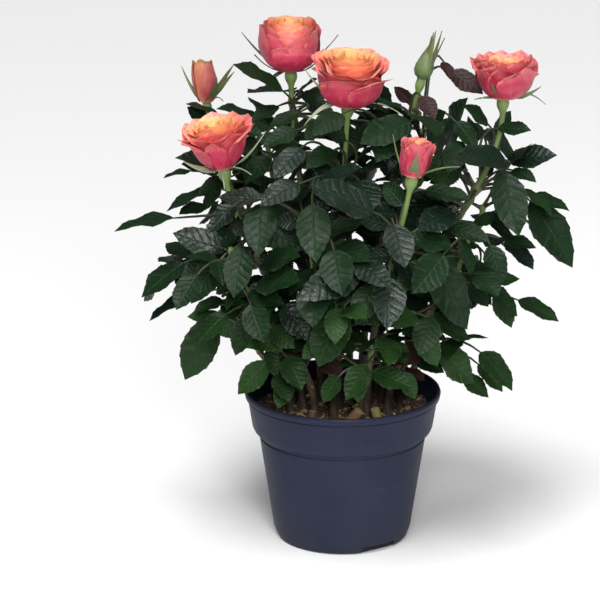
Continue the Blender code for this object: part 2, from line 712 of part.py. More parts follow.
def new_object(name, shape, material):
    points, faces = shape
    mesh = bpy.data.meshes.new(name)
    mesh.from_pydata([tuple(p) for p in points], [], faces)
    mesh.materials.append(material)
    thing = bpy.data.objects.new(name, mesh)
    bpy.context.scene.collection.objects.link(thing)
    return thing


def fuse(name, shapes, material):
    """One solid from shapes that run into each other, by a Boolean union of the first with all the others."""
    base = new_object(name, shapes[0], material)
    parts = bpy.data.collections.new(name + "_parts")
    bpy.context.scene.collection.children.link(parts)
    for number, shape in enumerate(shapes[1:]):
        piece = new_object(f"{name}_part_{number}", shape, material)
        bpy.context.scene.collection.objects.unlink(piece)
        parts.objects.link(piece)
    union = base.modifiers.new("union", "BOOLEAN")
    union.operation = "UNION"
    union.operand_type = "COLLECTION"
    union.collection = parts
    bpy.context.view_layer.update()
    graph = bpy.context.evaluated_depsgraph_get()
    mesh = bpy.data.meshes.new_from_object(base.evaluated_get(graph))
    base.modifiers.clear()
    base.data = mesh
    for piece in list(parts.objects):
        bpy.data.objects.remove(piece)
    bpy.data.collections.remove(parts)
    drop_scraps(mesh)
    return base


def drop_scraps(mesh):
    """Keeps the largest patch of faces that are joined edge to edge, and drops any loose scrap."""
    shape = bmesh.new()
    shape.from_mesh(mesh)
    waiting, patches = set(shape.faces), []
    while waiting:
        patch, front = [], [waiting.pop()]
        while front:
            face = front.pop()
            patch.append(face)
            near = {other for edge in face.edges if len(edge.link_faces) == 2 for other in edge.link_faces}
            front.extend(near & waiting)
            waiting -= near
        patches.append(patch)
    patches.sort(key=len)
    loose = [face for patch in patches[:-1] for face in patch]
    bmesh.ops.delete(shape, geom=loose, context="FACES")
    shape.to_mesh(mesh)
    shape.free()


def smooth(thing, angle=40.0):
    thing.data.shade_smooth()
    thing.data.set_sharp_from_angle(angle=math.radians(angle))


# Pot and soil


def wall_outside():
    """(radius, height) points of the pot's outside, from the edge of its underside up to the lip."""
    return [
        (BASE_RADIUS, 0.0),
        (BASE_RADIUS + 0.0028, 0.0012),
        (BODY_FOOT_RADIUS, BODY_FOOT),
        (BODY_TOP_RADIUS, BODY_TOP - 0.002),
        (BODY_TOP_RADIUS + 0.0016, BODY_TOP + 0.001),
        (COLLAR_FOOT_RADIUS - 0.0012, COLLAR_FOOT - 0.0026),
        (COLLAR_FOOT_RADIUS, COLLAR_FOOT),
        (COLLAR_TOP_RADIUS, COLLAR_TOP),
        (LIP_RADIUS - 0.0006, POT_HEIGHT - 0.0045),
        (LIP_RADIUS, POT_HEIGHT - 0.0015),
        (LIP_RADIUS - 0.0006, POT_HEIGHT),
    ]


def wall_inside():
    """(radius, height) points of the pot's inside, from the lip down to the edge of its floor."""
    return [
        (LIP_RADIUS - LIP_WIDTH, POT_HEIGHT),
        (COLLAR_TOP_RADIUS - WALL, COLLAR_TOP),
        (COLLAR_FOOT_RADIUS - WALL, COLLAR_FOOT),
        (BODY_TOP_RADIUS - WALL, BODY_TOP - 0.002),
        (BASE_RADIUS, FLOOR_THICKNESS),
    ]


def soil_outline():
    """(radius, height) points of the soil, which fills the pot to its level with a clearance all round."""
    inside = wall_inside()
    (low_radius, low), (high_radius, high) = inside[2], inside[1]
    edge = low_radius + (high_radius - low_radius) * (SOIL_LEVEL - SOIL_RIM_DROP - low) / (high - low)
    return [
        (0.0, FLOOR_THICKNESS + GAP),
        *[(radius - GAP, height + GAP) for radius, height in reversed(inside[2:])],
        (edge - GAP, SOIL_LEVEL - SOIL_RIM_DROP),
        (edge - SOIL_RIM_WIDTH, SOIL_LEVEL),
        (0.0, SOIL_LEVEL),
    ]


def turn_on_pot_axis(name, outline, sides, material):
    """A solid of revolution from an outline that starts and ends on the axis."""
    shape = bmesh.new()
    points = [shape.verts.new((radius, 0.0, height)) for radius, height in outline]
    edges = [shape.edges.new(pair) for pair in zip(points, points[1:])]
    bmesh.ops.spin(shape, geom=points + edges, axis=(0, 0, 1), angle=2 * math.pi, steps=sides, use_merge=True)
    bmesh.ops.remove_doubles(shape, verts=shape.verts, dist=1e-6)
    bmesh.ops.recalc_face_normals(shape, faces=shape.faces)
    mesh = bpy.data.meshes.new(name)
    shape.to_mesh(mesh)
    shape.free()
    mesh.materials.append(material)
    thing = bpy.data.objects.new(name, mesh)
    bpy.context.scene.collection.objects.link(thing)
    return thing


def make_pot(material):
    """The pot, with the notches in the edge of its underside that let water out."""
    outline = [(0.0, 0.0), *wall_outside(), *wall_inside(), (0.0, FLOOR_THICKNESS)]
    pot = turn_on_pot_axis("pot", outline, POT_SIDES, material)
    for number in range(DRAIN_COUNT):
        azimuth = math.radians(DRAIN_AZIMUTH + 360 / DRAIN_COUNT * number)
        bpy.ops.mesh.primitive_cube_add(size=1)
        cutter = bpy.context.object
        cutter.name = f"drain_cutter_{number}"
        cutter.scale = DRAIN_SIZE
        cutter.location = (BODY_FOOT_RADIUS * math.cos(azimuth), BODY_FOOT_RADIUS * math.sin(azimuth), 0)
        cutter.rotation_euler.z = azimuth
        cutter.hide_render = True
        cutter.display_type = "WIRE"
        cut = pot.modifiers.new(f"drain_{number}", "BOOLEAN")
        cut.operation = "DIFFERENCE"
        cut.object = cutter
    smooth(pot)


def pot_guard():
    """The outside of the pot and the surface of the soil, as leaves must clear them."""
    outline = [(radius + CLEAR_OF_POT, height) for radius, height in wall_outside()]
    outline += [
        (LIP_RADIUS, POT_HEIGHT + CLEAR_OF_SOIL),
        (LIP_RADIUS - LIP_WIDTH - CLEAR_OF_POT, POT_HEIGHT + CLEAR_OF_SOIL),
        (COLLAR_TOP_RADIUS - WALL - CLEAR_OF_POT, SOIL_LEVEL + CLEAR_OF_SOIL),
    ]
    turns = [2 * math.pi * k / POT_SIDES for k in range(POT_SIDES)]
    rings = [[Vector((r * math.cos(a), r * math.sin(a), z)) for a in turns] for r, z in outline]
    return loft(rings)


# The plant


def fill_room():
    """Everything that leaves must clear, before any leaf grows."""
    room = Room()
    room.add(pot_guard(), "pot")
    for shoot in SHOOTS:
        path = cane_path(shoot, 0.0, 1.0, GUARD_STEPS + 1)
        radii = [cane_radius(i / GUARD_STEPS) + CLEAR_OF_LIMB for i in range(GUARD_STEPS + 1)]
        for i in range(0, GUARD_STEPS, GUARD_STRETCH):
            ends = slice(i, i + GUARD_STRETCH + 1)
            room.add(tube(path[ends], radii[ends], CANE_SIDES), shoot.name)
        if shoot.flower:
            stalk = cane_path(shoot, shoot.leafy_to, 1.0, STALK_RINGS)
            radii = [FLOWER_STALK_RADIUS + CLEAR_OF_LIMB] * STALK_RINGS
            room.add(tube(stalk, radii, CANE_SIDES), shoot.name + "_flower")
            for points, faces in flower_pieces(shoot):
                middle = sum(points, Vector()) / len(points)
                swollen = [p + (p - middle).normalized() * CLEAR_OF_FLOWER for p in points]
                room.add((swollen, faces), shoot.name + "_flower")
    return room


def level_foot(shape, sides):
    """Cuts a limb flat just above the soil."""
    points, faces = shape
    for point in points[:sides]:
        point.z = SOIL_LEVEL + GAP
    return points, faces


def make_cane(shoot, material):
    """The bare lower part of a cane, a limb that swells a little where it leaves the soil."""
    end = shoot.leafy_from
    path = cane_path(shoot, 0.0, end, CANE_RINGS)
    radii = [cane_radius(i / (CANE_RINGS - 1) * end) for i in range(CANE_RINGS)]
    radii[0] *= CANE_SWELL
    shape = level_foot(tube(path, radii, CANE_SIDES), CANE_SIDES)
    smooth(new_object(f"cane_{shoot.name}", shape, material))


def make_mass(shoot, leaves, material):
    """The leafy part of a cane: its stem, the leaves' stalks and their blades, fused into one solid."""
    first, last = shoot.leafy_from, shoot.leafy_to
    path = cane_path(shoot, first, last, STEM_RINGS)
    path[0] += (path[1] - path[0]).normalized() * GAP
    radii = [cane_radius(first + (last - first) * i / (STEM_RINGS - 1)) for i in range(STEM_RINGS)]
    shapes = [tube(path, radii, STEM_SIDES)]
    shapes.extend(leaf.shape() for leaf in leaves)
    fuse(f"leaves_{shoot.name}", shapes, material)


def make_flower(shoot, material):
    """A flower on its bare stalk, which stands clear of the stem below."""
    path = cane_path(shoot, shoot.leafy_to, 1.0, STALK_RINGS)
    path[0] += (path[1] - path[0]).normalized() * GAP
    stalk = tube(path, [FLOWER_STALK_RADIUS] * STALK_RINGS, STALK_SIDES)
    fuse(f"flower_{shoot.name}", [stalk, *flower_pieces(shoot)], material)


def make_stump(name, place, radius, height, lean, material):
    """An old cut stem: a short leaning stub with a flat cut at the soil."""
    foot = Vector((*place, SOIL_LEVEL + GAP))
    top = foot + Vector((*lean, 1.0)) * height
    shape = tube([foot, foot.lerp(top, 0.6), top], [radius * 1.1, radius, radius * 0.9], CANE_SIDES)
    new_object(name, level_foot(shape, CANE_SIDES), material)


def main():
    for thing in list(bpy.data.objects):
        bpy.data.objects.remove(thing)
    plastic = finish("pot_plastic", (0.040, 0.045, 0.075), 0.45)
    earth = finish("soil_peat", (0.030, 0.018, 0.012), 0.95)
    bark = finish("cane_bark", (0.16, 0.17, 0.06), 0.6)
    leaf = finish("leaf_green", (0.020, 0.060, 0.022), 0.35)
    petal = finish("petal_coral", (0.80, 0.14, 0.13), 0.55)
    bud = finish("bud_green", (0.16, 0.24, 0.07), 0.5)
    wood = finish("stump_wood", (0.42, 0.31, 0.18), 0.85)
    make_pot(plastic)
    smooth(turn_on_pot_axis("soil", soil_outline(), SOIL_SIDES, earth))
    leaves = grow_crown()
    for shoot in SHOOTS:
        make_cane(shoot, bark)
        make_mass(shoot, leaves[shoot.name], leaf)
        if shoot.flower:
            make_flower(shoot, bud if shoot.flower == "bud_green" else petal)
    for name, place, radius, height, lean in STUMPS:
        make_stump(name, place, radius, height, lean, wood)


main()
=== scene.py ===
"""A potted patio rose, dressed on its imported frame: glossy leaves, ruffled blooms, buds and a nursery pot.

Metres, +Z up. The leaves grow by the same seeded rule as the frame's solids, and smaller ones then fill the
spaces between them. Each kind of small thing is one joined mesh.
"""

import json
import math
import random
from dataclasses import dataclass, replace

import bmesh
import bpy
import numpy as np
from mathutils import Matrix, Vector, noise
from mathutils.bvhtree import BVHTree

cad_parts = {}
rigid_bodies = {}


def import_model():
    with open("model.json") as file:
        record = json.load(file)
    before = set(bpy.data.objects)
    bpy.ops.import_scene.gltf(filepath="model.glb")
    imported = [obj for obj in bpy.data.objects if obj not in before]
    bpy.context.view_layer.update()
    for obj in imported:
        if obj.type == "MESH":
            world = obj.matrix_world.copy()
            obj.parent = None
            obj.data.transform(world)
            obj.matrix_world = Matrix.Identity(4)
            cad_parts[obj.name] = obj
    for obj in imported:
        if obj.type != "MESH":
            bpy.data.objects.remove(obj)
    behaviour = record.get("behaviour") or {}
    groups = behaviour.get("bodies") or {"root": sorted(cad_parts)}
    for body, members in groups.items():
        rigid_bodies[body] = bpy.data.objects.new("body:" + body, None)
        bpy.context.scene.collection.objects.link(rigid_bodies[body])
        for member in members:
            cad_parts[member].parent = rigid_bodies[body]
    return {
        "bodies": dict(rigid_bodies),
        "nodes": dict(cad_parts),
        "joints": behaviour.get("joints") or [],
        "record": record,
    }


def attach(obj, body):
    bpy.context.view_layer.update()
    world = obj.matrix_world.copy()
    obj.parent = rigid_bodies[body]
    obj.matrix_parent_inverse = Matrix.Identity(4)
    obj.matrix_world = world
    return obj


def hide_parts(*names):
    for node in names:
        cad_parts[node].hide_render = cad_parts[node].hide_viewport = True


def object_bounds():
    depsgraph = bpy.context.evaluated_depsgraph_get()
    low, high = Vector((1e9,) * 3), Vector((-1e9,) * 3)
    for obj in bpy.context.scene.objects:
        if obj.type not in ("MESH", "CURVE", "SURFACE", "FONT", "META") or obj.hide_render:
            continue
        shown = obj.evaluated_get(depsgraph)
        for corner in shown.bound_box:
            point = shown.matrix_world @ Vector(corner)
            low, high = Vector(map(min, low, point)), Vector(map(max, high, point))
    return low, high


GAP = 0.0003  # clearance between pieces that meet

# The pot, a 13 cm nursery pot with a collar, measured outside
POT_HEIGHT = 0.101
LIP_RADIUS = 0.065
COLLAR_TOP_RADIUS = 0.0623
COLLAR_FOOT_RADIUS = 0.0599
BODY_TOP_RADIUS = 0.0552
BODY_FOOT_RADIUS = 0.0458
BASE_RADIUS = 0.041
COLLAR_TOP = 0.092
COLLAR_FOOT = 0.077
BODY_TOP = 0.071
BODY_FOOT = 0.007
WALL = 0.0014
LIP_WIDTH = 0.0022
FLOOR_THICKNESS = 0.0045
POT_SIDES = 40
# How its outline is rounded at the foot, below and above the step, under the collar and at the lip
FOOT_ROUND, STEP_START, STEP_END, COLLAR_ROUND = (0.0028, 0.0012), 0.002, (0.0016, 0.001), (0.0012, 0.0026)
LIP_ROUND, LIP_START, LIP_EDGE = 0.0006, 0.0045, 0.0015
DRAIN_COUNT = 3
DRAIN_AZIMUTH = -57.0  # the first drain notch, degrees round from +X

# The soil
SOIL_LEVEL = 0.090
SOIL_RIM_DROP = 0.0025
SOIL_RIM_WIDTH = 0.010

# The crown's body, which only the tips of the furthest leaves and the flowers grow out of:
# height, and how far it reaches to the left, to the right, and to the front and back
CROWN = (
    (0.126, 0.100, 0.092, 0.078),
    (0.170, 0.124, 0.112, 0.106),
    (0.205, 0.114, 0.140, 0.116),
    (0.240, 0.100, 0.130, 0.110),
    (0.270, 0.078, 0.108, 0.092),
    (0.300, 0.060, 0.098, 0.068),
)
CROWN_EDGE = 0.05  # height beyond either end over which a point counts as one crown further out

# Canes and stalks
CANE_FOOT_RADIUS, CANE_TIP_RADIUS = 0.0027, 0.0016
CANE_SWELL = 1.35  # of the radius where a cane leaves the soil
CANE_RISE, CANE_DRIFT = 0.40, 0.05  # how straight it starts: shares of its height and of its way to the tip
CANE_LEAN = 0.30  # share of its height over which it takes on the lean of its tip
FLOWER_STALK_RADIUS = 0.0020
CANE_SIDES, STALK_SIDES = 6, 5
STALK_RINGS = 3

# Compound leaves: a stalk with leaflets in pairs and one at the end
LEAF_STALK = 0.048
STALK_SIDES_OF_LEAF = 3
PAIR_SHARES = (0.42, 0.75)  # where on the stalk the side leaflets grow
PAIR_SIZES = (0.78, 0.92)  # against the end leaflet
TWIG_RADIUS = 0.0010
BARE_ROOT = 0.25  # share of a stalk's first stretch that nothing needs to clear
LEAFLET_LENGTH, LEAFLET_WIDTH = 0.042, 0.027
LEAFLET_THICKNESS = 0.0011
FOLD = 0.20  # rise of a blade's edges against the half width
CLEAR_OUTLINE = ((0.20, 0.90), (0.40, 1.17), (0.66, 0.82))  # share of the length, and of the half width
LEAF_BEND, BEND_POWER = 46.0, 1.3  # degrees that a stalk bends down towards its end, late rather than early
SIDE_ROLL = 13.0  # degrees that side leaflets face away from the stalk
LIGHT = Vector((0.0, -0.45, 1.0))  # faces turn this way
OUTWARD, HEADING_WEIGHT = 0.65, 0.03  # and so far outwards
SIDE_SUNWARD = 0.3  # how much more a side leaflet turns to the light than its stalk

# What differs from leaf to leaf: the usual value, and how far it strays to either side
SWING = (0.0, 27.0)  # degrees that the stalk winds sideways
ROLL = (0.0, 16.0)
SIDE_ANGLE = (62.0, 8.0)  # between the stalk and a side leaflet
SIDE_DROOP = (0.20, 0.14)
SIDE_CURL = (0.13, 0.08)  # fall of the tip against the length
END_BEND = (1.10, 0.12)  # against the bend of the stalk
END_ROLL = (0.0, 18.0)
END_CURL = (0.15, 0.10)
ROOT_TURN = (0.0, 20.0)
ROOT_LIFT = (34.0, 10.0)
QUIRKS = 11
# Which of a leaf's quirks each of these takes: two, one for each pair, from ANGLE_AT, DROOP_AT and CURL_AT on
SWING_AT, ROLL_AT, ANGLE_AT, DROOP_AT, CURL_AT, BEND_AT, END_ROLL_AT, END_CURL_AT = 0, 1, 2, 4, 6, 8, 9, 10
TURN_AT, LIFT_AT = 3, 5

# How leaves follow one another down a cane
LEAF_STEP, SHOOT_STEP = 137.5, 78.0  # degrees from one leaf to the next, and from one cane to the next
LIFT_LOSS = 26.0  # degrees that the lowest leaf would start off lower
BARE_END = 0.03  # share of a cane without leaves at either end of its leafy part

# Where a leaf in the crown's body may turn, and what each change costs it
LEAF_TURNS = (0, 24, -24, 48, -48, 76, -76, 108, -108, 145, -145)
LEAF_LIFTS = (0, 16, -16)
LEAST_LEAFLETS = 3
TURN_COST, LIFT_COST = 1 / 60, 1 / 40  # for a degree
INWARD_COST = 0.8
SMALLER_COST = 0.8
OUTSIDE_COST = 8.0
LOST_COST = 1.4  # for a leaflet that finds no room

# How a listed leaf finds its place and its stalk
BLADE_SHAPE, BLADE_SLIMMING = 0.66, 3.6  # width against length, and how much less a long blade has
USUAL_STALK = 0.036
ROOT_STEPS, ROOT_TRIES = 14, 12
BEND_COST = 0.9  # for a stalk that meets its blade head on
BOX_EDGE = 0.0002  # how far leaves stay inside the plant's own box
BASE_BEHIND = 0.22  # how much further in a blade's base is than its tip
EDGE_ROUND = 0.18  # how far the front still reaches at the crown's very edge
SIGHT_ROUNDS = 6  # in which a place in the picture is worked out
SET_OUTWARD, SET_CURL, SET_SIDES, SET_ROLL = 0.4, 0.8, 0.9, 0.2  # of a grown leaf's, for a listed one
SET_STALK_BEND = 0.45  # how far before its blade such a stalk bends, as a share of the way
FRONT_SHIFTS = (0.0, 0.08, -0.08, 0.16, -0.16, 0.25, -0.25, 0.35, -0.35)  # tried until it finds room

# The leaves that grow by the rule
FILL_TURNS, FILL_STRAY, FILL_SIZES = 13, 0.5, (0.94, 0.78, 0.64)
FILL_WIDTH = 0.84  # of the crown's width that grown leaves keep to
YOUNG_HEIGHT, LOW_HEIGHT = 0.285, 0.165
YOUNG_LUCK, FRESH_LUCK, MID_LUCK, GLOSSY_LUCK = 0.3, 0.4, 0.2, 0.5  # how many leaves take these tones

# Where light comes through the crown, as the camera sees it: across, down and how wide
SKY = (
    (322, 144, 7), (355, 238, 8), (250, 247, 8), (466, 212, 8), (470, 232, 5), (286, 297, 5), (440, 98, 8),
    (456, 108, 4), (515, 108, 8), (521, 143, 4), (548, 132, 9), (475, 195, 6), (526, 212, 5), (532, 278, 9),
    (512, 262, 5), (222, 350, 9), (160, 248, 9), (166, 282, 5), (256, 272, 4), (248, 135, 4),
    (272, 132, 4), (448, 292, 4), (480, 320, 8), (205, 232, 3), (400, 60, 9), (284, 105, 4),
    (166, 184, 8), (190, 183, 5), (186, 224, 4), (228, 378, 12), (222, 365, 8), (474, 170, 7), (458, 186, 5),
    (488, 206, 6), (520, 288, 6), (487, 352, 9), (490, 368, 5), (458, 312, 4), (447, 48, 9), (478, 308, 5),
    (180, 335, 8), (206, 300, 3), (505, 335, 9), (222, 402, 12), (238, 358, 6), (182, 314, 8), (484, 344, 8),
    (236, 341, 4), (158, 133, 14), (525, 232, 6), (536, 260, 6), (408, 72, 8), (262, 422, 8), (258, 406, 6),
)
SKY_REACH = 1.3  # of the crown's depth, to the front and back
SOIL_VIEW = ((-0.020, 0.085), (-0.110, -0.025), (0.096, 0.136))  # kept free, so that the soil shows

# The picture and where the camera stands
PICTURE, SENSOR = 600, 36.0
PICTURE_WIDTH = 0.394  # metres that it shows at the plant
CAMERA_PLACE, CAMERA_PITCH, CAMERA_LENS = (-0.0282, -1.7259, 0.6732), 16.5, 164.7

# Leaves listed one by one, by tone: where the camera sees base and tip of the end leaflet (across and down),
# how far out to the crown's front it stands, how much it leans to the front and, for one, its roll in degrees
SET_LEAVES = {
    "dark": (
        (174, 218, 115, 231, 0.0, 0.25), (215, 188, 167, 211, 0.2, 0.2), (192, 171, 163, 178, 0.0, 0.2),
        (184, 263, 140, 296, 0.1, 0.8), (201, 262, 185, 288, 0.3, 0.1), (220, 260, 192, 303, 0.8, 1.0),
        (190, 294, 150, 321, 0.0, 0.1), (243, 246, 233, 298, 0.9, 1.2), (262, 203, 258, 256, 0.9, 1.6),
        (221, 118, 186, 104, -0.2, 0.3), (263, 121, 217, 109, -0.2, 0.55), (283, 91, 234, 66, -0.3, 0.5),
        (293, 91, 249, 93, -0.3, 0.1), (410, 121, 362, 146, 0.6, 0.4), (346, 140, 311, 121, 0.6, 0.4),
        (312, 205, 316, 262, 0.85, 1.4), (339, 244, 370, 262, 0.85, 0.6), (258, 283, 299, 283, 0.9, 0.5),
        (262, 263, 300, 257, 0.8, 0.7), (446, 147, 461, 93, -0.1, 2.0, 78), (488, 124, 463, 106, 0.2, 0.7),
        (300, 112, 268, 128, 0.3, 0.5), (300, 150, 256, 140, 0.45, 0.5), (342, 114, 314, 136, 0.45, 0.7),
        (278, 106, 252, 122, 0.0, 0.6), (268, 156, 244, 184, 0.35, 0.9), (240, 132, 256, 158, 0.1, 0.8),
        (334, 150, 306, 168, 0.6, 0.7), (206, 122, 187, 107, 0.0, 1.2), (206, 205, 180, 215, 0.1, 0.5),
        (208, 171, 182, 165, 0.1, 0.7), (228, 178, 198, 196, 0.3, 0.5), (297, 94, 318, 78, -0.2, 0.6),
        (303, 92, 326, 108, -0.1, 0.8), (420, 114, 400, 95, -0.2, 0.9), (500, 152, 482, 130, 0.0, 1.0),
        (512, 170, 536, 182, 0.2, 0.7), (268, 290, 300, 298, 0.5, 0.8), (412, 352, 444, 373, 0.5, 0.9),
        (297, 130, 263, 147, 0.5, 0.6), (318, 119, 300, 103, 0.1, 1.2), (330, 123, 306, 140, 0.5, 0.6),
        (428, 128, 446, 112, 0.1, 1.3), (442, 150, 426, 124, 0.1, 1.6), (456, 122, 477, 150, 0.3, 0.9),
        (462, 142, 446, 172, 0.5, 1.2), (232, 128, 262, 136, 0.1, 0.4), (247, 158, 262, 186, 0.2, 1.2),
        (498, 128, 531, 131, 0.0, 0.7), (503, 172, 516, 237, 0.6, 2.0), (530, 196, 569, 210, 0.0, 0.5),
        (530, 201, 570, 268, 0.1, 1.0), (500, 238, 536, 249, 0.4, 0.3), (490, 245, 501, 285, 0.6, 2.0),
        (432, 262, 468, 328, 0.9, 1.0), (465, 275, 491, 305, 0.5, 1.2), (425, 190, 472, 200, 0.8, 0.3),
        (448, 225, 488, 243, 0.7, 0.3),
    ),
    "glossy": (
        (226, 250, 172, 235, 0.7, 0.6), (236, 204, 209, 233, 0.8, 0.6), (262, 199, 218, 198, 0.8, 0.3),
        (299, 184, 262, 206, 0.9, 0.5), (301, 148, 276, 179, 0.7, 0.5), (374, 212, 310, 187, 0.95, 0.6),
        (360, 271, 302, 302, 1.0, 0.6), (506, 160, 454, 159, 0.6, 0.6), (508, 160, 557, 156, 0.0, 0.9),
        (452, 212, 420, 232, 0.8, 0.5), (230, 168, 176, 158, 0.3, 0.5), (394, 224, 405, 268, 1.0, 0.9),
        (318, 184, 361, 168, 0.6, 0.2), (358, 262, 388, 288, 1.0, 0.6),
    ),
    "mid": (
        (223, 300, 194, 312, 0.6, 0.5), (214, 318, 188, 380, 0.5, 1.6), (248, 318, 234, 355, 0.8, 2.0),
        (266, 297, 248, 335, 0.9, 1.8), (336, 305, 303, 321, 0.95, 0.4), (518, 300, 558, 322, 0.1, 0.4),
        (430, 318, 470, 340, 0.9, 0.4),
    ),
    "fresh": (
        (284, 340, 246, 347, 0.9, 0.7), (268, 362, 238, 394, 0.9, 1.3), (288, 378, 279, 409, 0.9, 1.8),
        (336, 308, 336, 344, 1.0, 1.8), (345, 309, 367, 318, 1.0, 0.7), (329, 337, 303, 360, 0.9, 0.7),
        (378, 350, 409, 352, 0.95, 0.3), (366, 365, 345, 399, 0.9, 1.6), (372, 372, 411, 388, 0.9, 0.7),
        (414, 314, 388, 327, 1.0, 0.7), (496, 291, 513, 327, 0.4, 1.6), (436, 347, 474, 383, 0.8, 1.1),
        (478, 364, 502, 392, 0.5, 0.6), (461, 374, 488, 398, 0.6, 0.6), (420, 330, 438, 366, 0.95, 1.5),
    ),
    "young": (
        (300, 350, 278, 374, 0.6, 1.2), (318, 356, 340, 374, 0.5, 1.2), (424, 344, 398, 366, 0.6, 1.0),
        (352, 340, 372, 356, 0.3, 1.2), (330, 345, 310, 358, 0.2, 1.4), (405, 372, 425, 380, 0.6, 1.0),
        (451, 71, 482, 95, -0.1, 1.2), (444, 62, 450, 79, -0.1, 0.3), (421, 96, 436, 119, 0.2, 1.8),
    ),
}

CLEAR_OF_BLADE, CLEAR_OF_LIMB, CLEAR_OF_FLOWER = 0.0006, 0.0008, 0.0020
CLEAR_OF_POT, CLEAR_OF_SOIL = 0.0018, 0.0022
GUARD_STEPS, GUARD_STRETCH = 15, 3  # pieces that a cane is watched in
NO_COST_YET = 1e9


@dataclass
class Shoot:
    """A cane: where it leaves the soil, where it ends, where it has leaves and what it flowers with."""

    name: str
    foot: tuple
    tip: tuple
    leafy_from: float = 0.36
    leafy_to: float = 1.0
    flower: str = ""
    tilt: tuple = (0.0, 0.0)  # how far the flower's axis leans towards +X and +Y
    scale: float = 1.0  # of its leaves


SHOOTS = (
    Shoot(
        "top", foot=(-0.014, 0.012), tip=(-0.034, 0.030, 0.3000), leafy_from=0.38, leafy_to=0.95,
        flower="rose_small", tilt=(-0.02, 0.02)
    ),
    Shoot(
        "centre", foot=(-0.003, -0.008), tip=(0.002, -0.010, 0.2865), leafy_from=0.34, leafy_to=0.80,
        flower="rose_large", tilt=(0.05, -0.08)
    ),
    Shoot(
        "left", foot=(-0.026, -0.008), tip=(-0.075, -0.030, 0.2495), leafy_to=0.82, flower="rose_middle",
        tilt=(-0.20, -0.06)
    ),
    Shoot(
        "right", foot=(0.026, 0.003), tip=(0.102, 0.000, 0.2885), leafy_to=0.82, flower="rose_wide",
        tilt=(0.02, -0.02)
    ),
    Shoot(
        "upper_left", foot=(-0.026, 0.012), tip=(-0.088, 0.020, 0.2815), leafy_to=0.86,
        flower="bud_colour", tilt=(-0.10, 0.02)
    ),
    Shoot(
        "front", foot=(0.015, -0.022), tip=(0.040, -0.070, 0.2545), leafy_to=0.80, flower="bud_open",
        tilt=(0.16, -0.04)
    ),
    Shoot(
        "upper_right", foot=(0.012, 0.009), tip=(0.048, 0.010, 0.2990), leafy_from=0.38, leafy_to=0.95,
        flower="bud_green", tilt=(0.24, 0.0)
    ),
    Shoot("left_front", foot=(-0.018, -0.024), tip=(-0.072, -0.052, 0.212), leafy_from=0.38),
    Shoot("right_front", foot=(0.029, -0.018), tip=(0.078, -0.050, 0.222), leafy_from=0.38),
    Shoot("middle_front", foot=(-0.006, -0.027), tip=(-0.022, -0.058, 0.230)),
    Shoot("left_back", foot=(-0.012, 0.027), tip=(-0.050, 0.056, 0.262), leafy_from=0.40),
    Shoot("right_back", foot=(0.022, 0.025), tip=(0.054, 0.056, 0.264), leafy_from=0.40),
    Shoot("middle_back", foot=(0.005, 0.030), tip=(0.004, 0.060, 0.266), leafy_from=0.40),
    Shoot("far_left", foot=(-0.035, 0.004), tip=(-0.088, 0.012, 0.210), leafy_from=0.42),
    Shoot("far_right", foot=(0.036, 0.011), tip=(0.092, 0.024, 0.220), leafy_from=0.42),
    Shoot("low_left", foot=(-0.034, -0.018), tip=(-0.060, -0.042, 0.156), leafy_from=0.48, scale=0.82),
    Shoot("low_front", foot=(0.010, -0.036), tip=(0.018, -0.044, 0.146), leafy_from=0.50, scale=0.72),
    Shoot("low_right", foot=(0.038, -0.010), tip=(0.066, -0.036, 0.166), leafy_from=0.46, scale=0.82),
    Shoot("low_back", foot=(-0.004, 0.042), tip=(-0.006, 0.062, 0.150), leafy_from=0.50, scale=0.85),
)
SEED = 18
BLADE_SEED, PRICKLE_SEED, BLOOM_SEED, LITTER_SEED = SEED + 2, SEED + 3, SEED + 4, SEED + 5

# Flower heads
ROSE_PROFILE = ((0.00, 0.30), (0.20, 0.80), (0.55, 0.92), (0.94, 0.84), (0.86, 0.45))  # height, radius
BUD_PROFILE = ((0.00, 0.40), (0.18, 0.88), (0.45, 1.00), (0.94, 0.30))
PRESSED_SEPAL = ((1.02, 0.35), (0.50, 1.25))  # radius and height, halfway along and at the tip
UPRIGHT_SEPAL = ((1.05, 0.20), (1.50, 0.70))
BENT_SEPAL = (0.85, 1.35)  # radius only: it bends down under the flower
SEPAL_COUNT, SEPAL_THICKNESS = 5, 0.0005
SEPAL_ROOT, SEPAL_SINK = 0.0015, 0.0010  # out from the axis, and down from the hip's top
SEPAL_DIP, SEPAL_FALL, SEPAL_STEP = 0.0015, 0.008, 0.007  # of a bent sepal, and from one to the next
HIP_HEIGHT, HIP_SWELL = 0.010, 0.0035
HIP_FOOT, HIP_TAPER = -0.0008, 0.9
HEART_SIDES, HEART_RIPPLE, HEART_SINK = 8, 0.04, 0.0015
RIPPLE_FOLDS, RIPPLE_TURN = 5, 1.9
PETAL_THICKNESS, PETAL_SINK = 0.0007, 0.0005
PETAL_WIDTH, PETAL_WIDTHS = 0.62, (0.6, 1.0, 0.5)  # against the radius, and from root to edge
PETAL_ROOT, PETAL_MIDDLE = (0.60, 0.16), (1.00, 0.55)  # radius and height
PETAL_EDGE, PETAL_DROP, PETAL_FLARE = (1.08, 0.92), 0.25, (0.6, 0.4)
PETAL_SHIFT = 0.3  # of the space between two, for every other petal
PETAL_START, SEPAL_START = 0.4, 0.9  # how far round the first one stands
EDGE_HUG = 0.42  # how far the edges of petals and sepals bend back round the axis


@dataclass
class Head:
    """A flower head: the bloom's radius and height, its guard petals and how far they open."""

    radius: float
    height: float
    petals: int = 0
    opening: float = 0.0
    profile: tuple = ROSE_PROFILE
    hip_radius: float = 0.0040
    sepal: tuple = BENT_SEPAL
    sepal_width: float = 0.0030


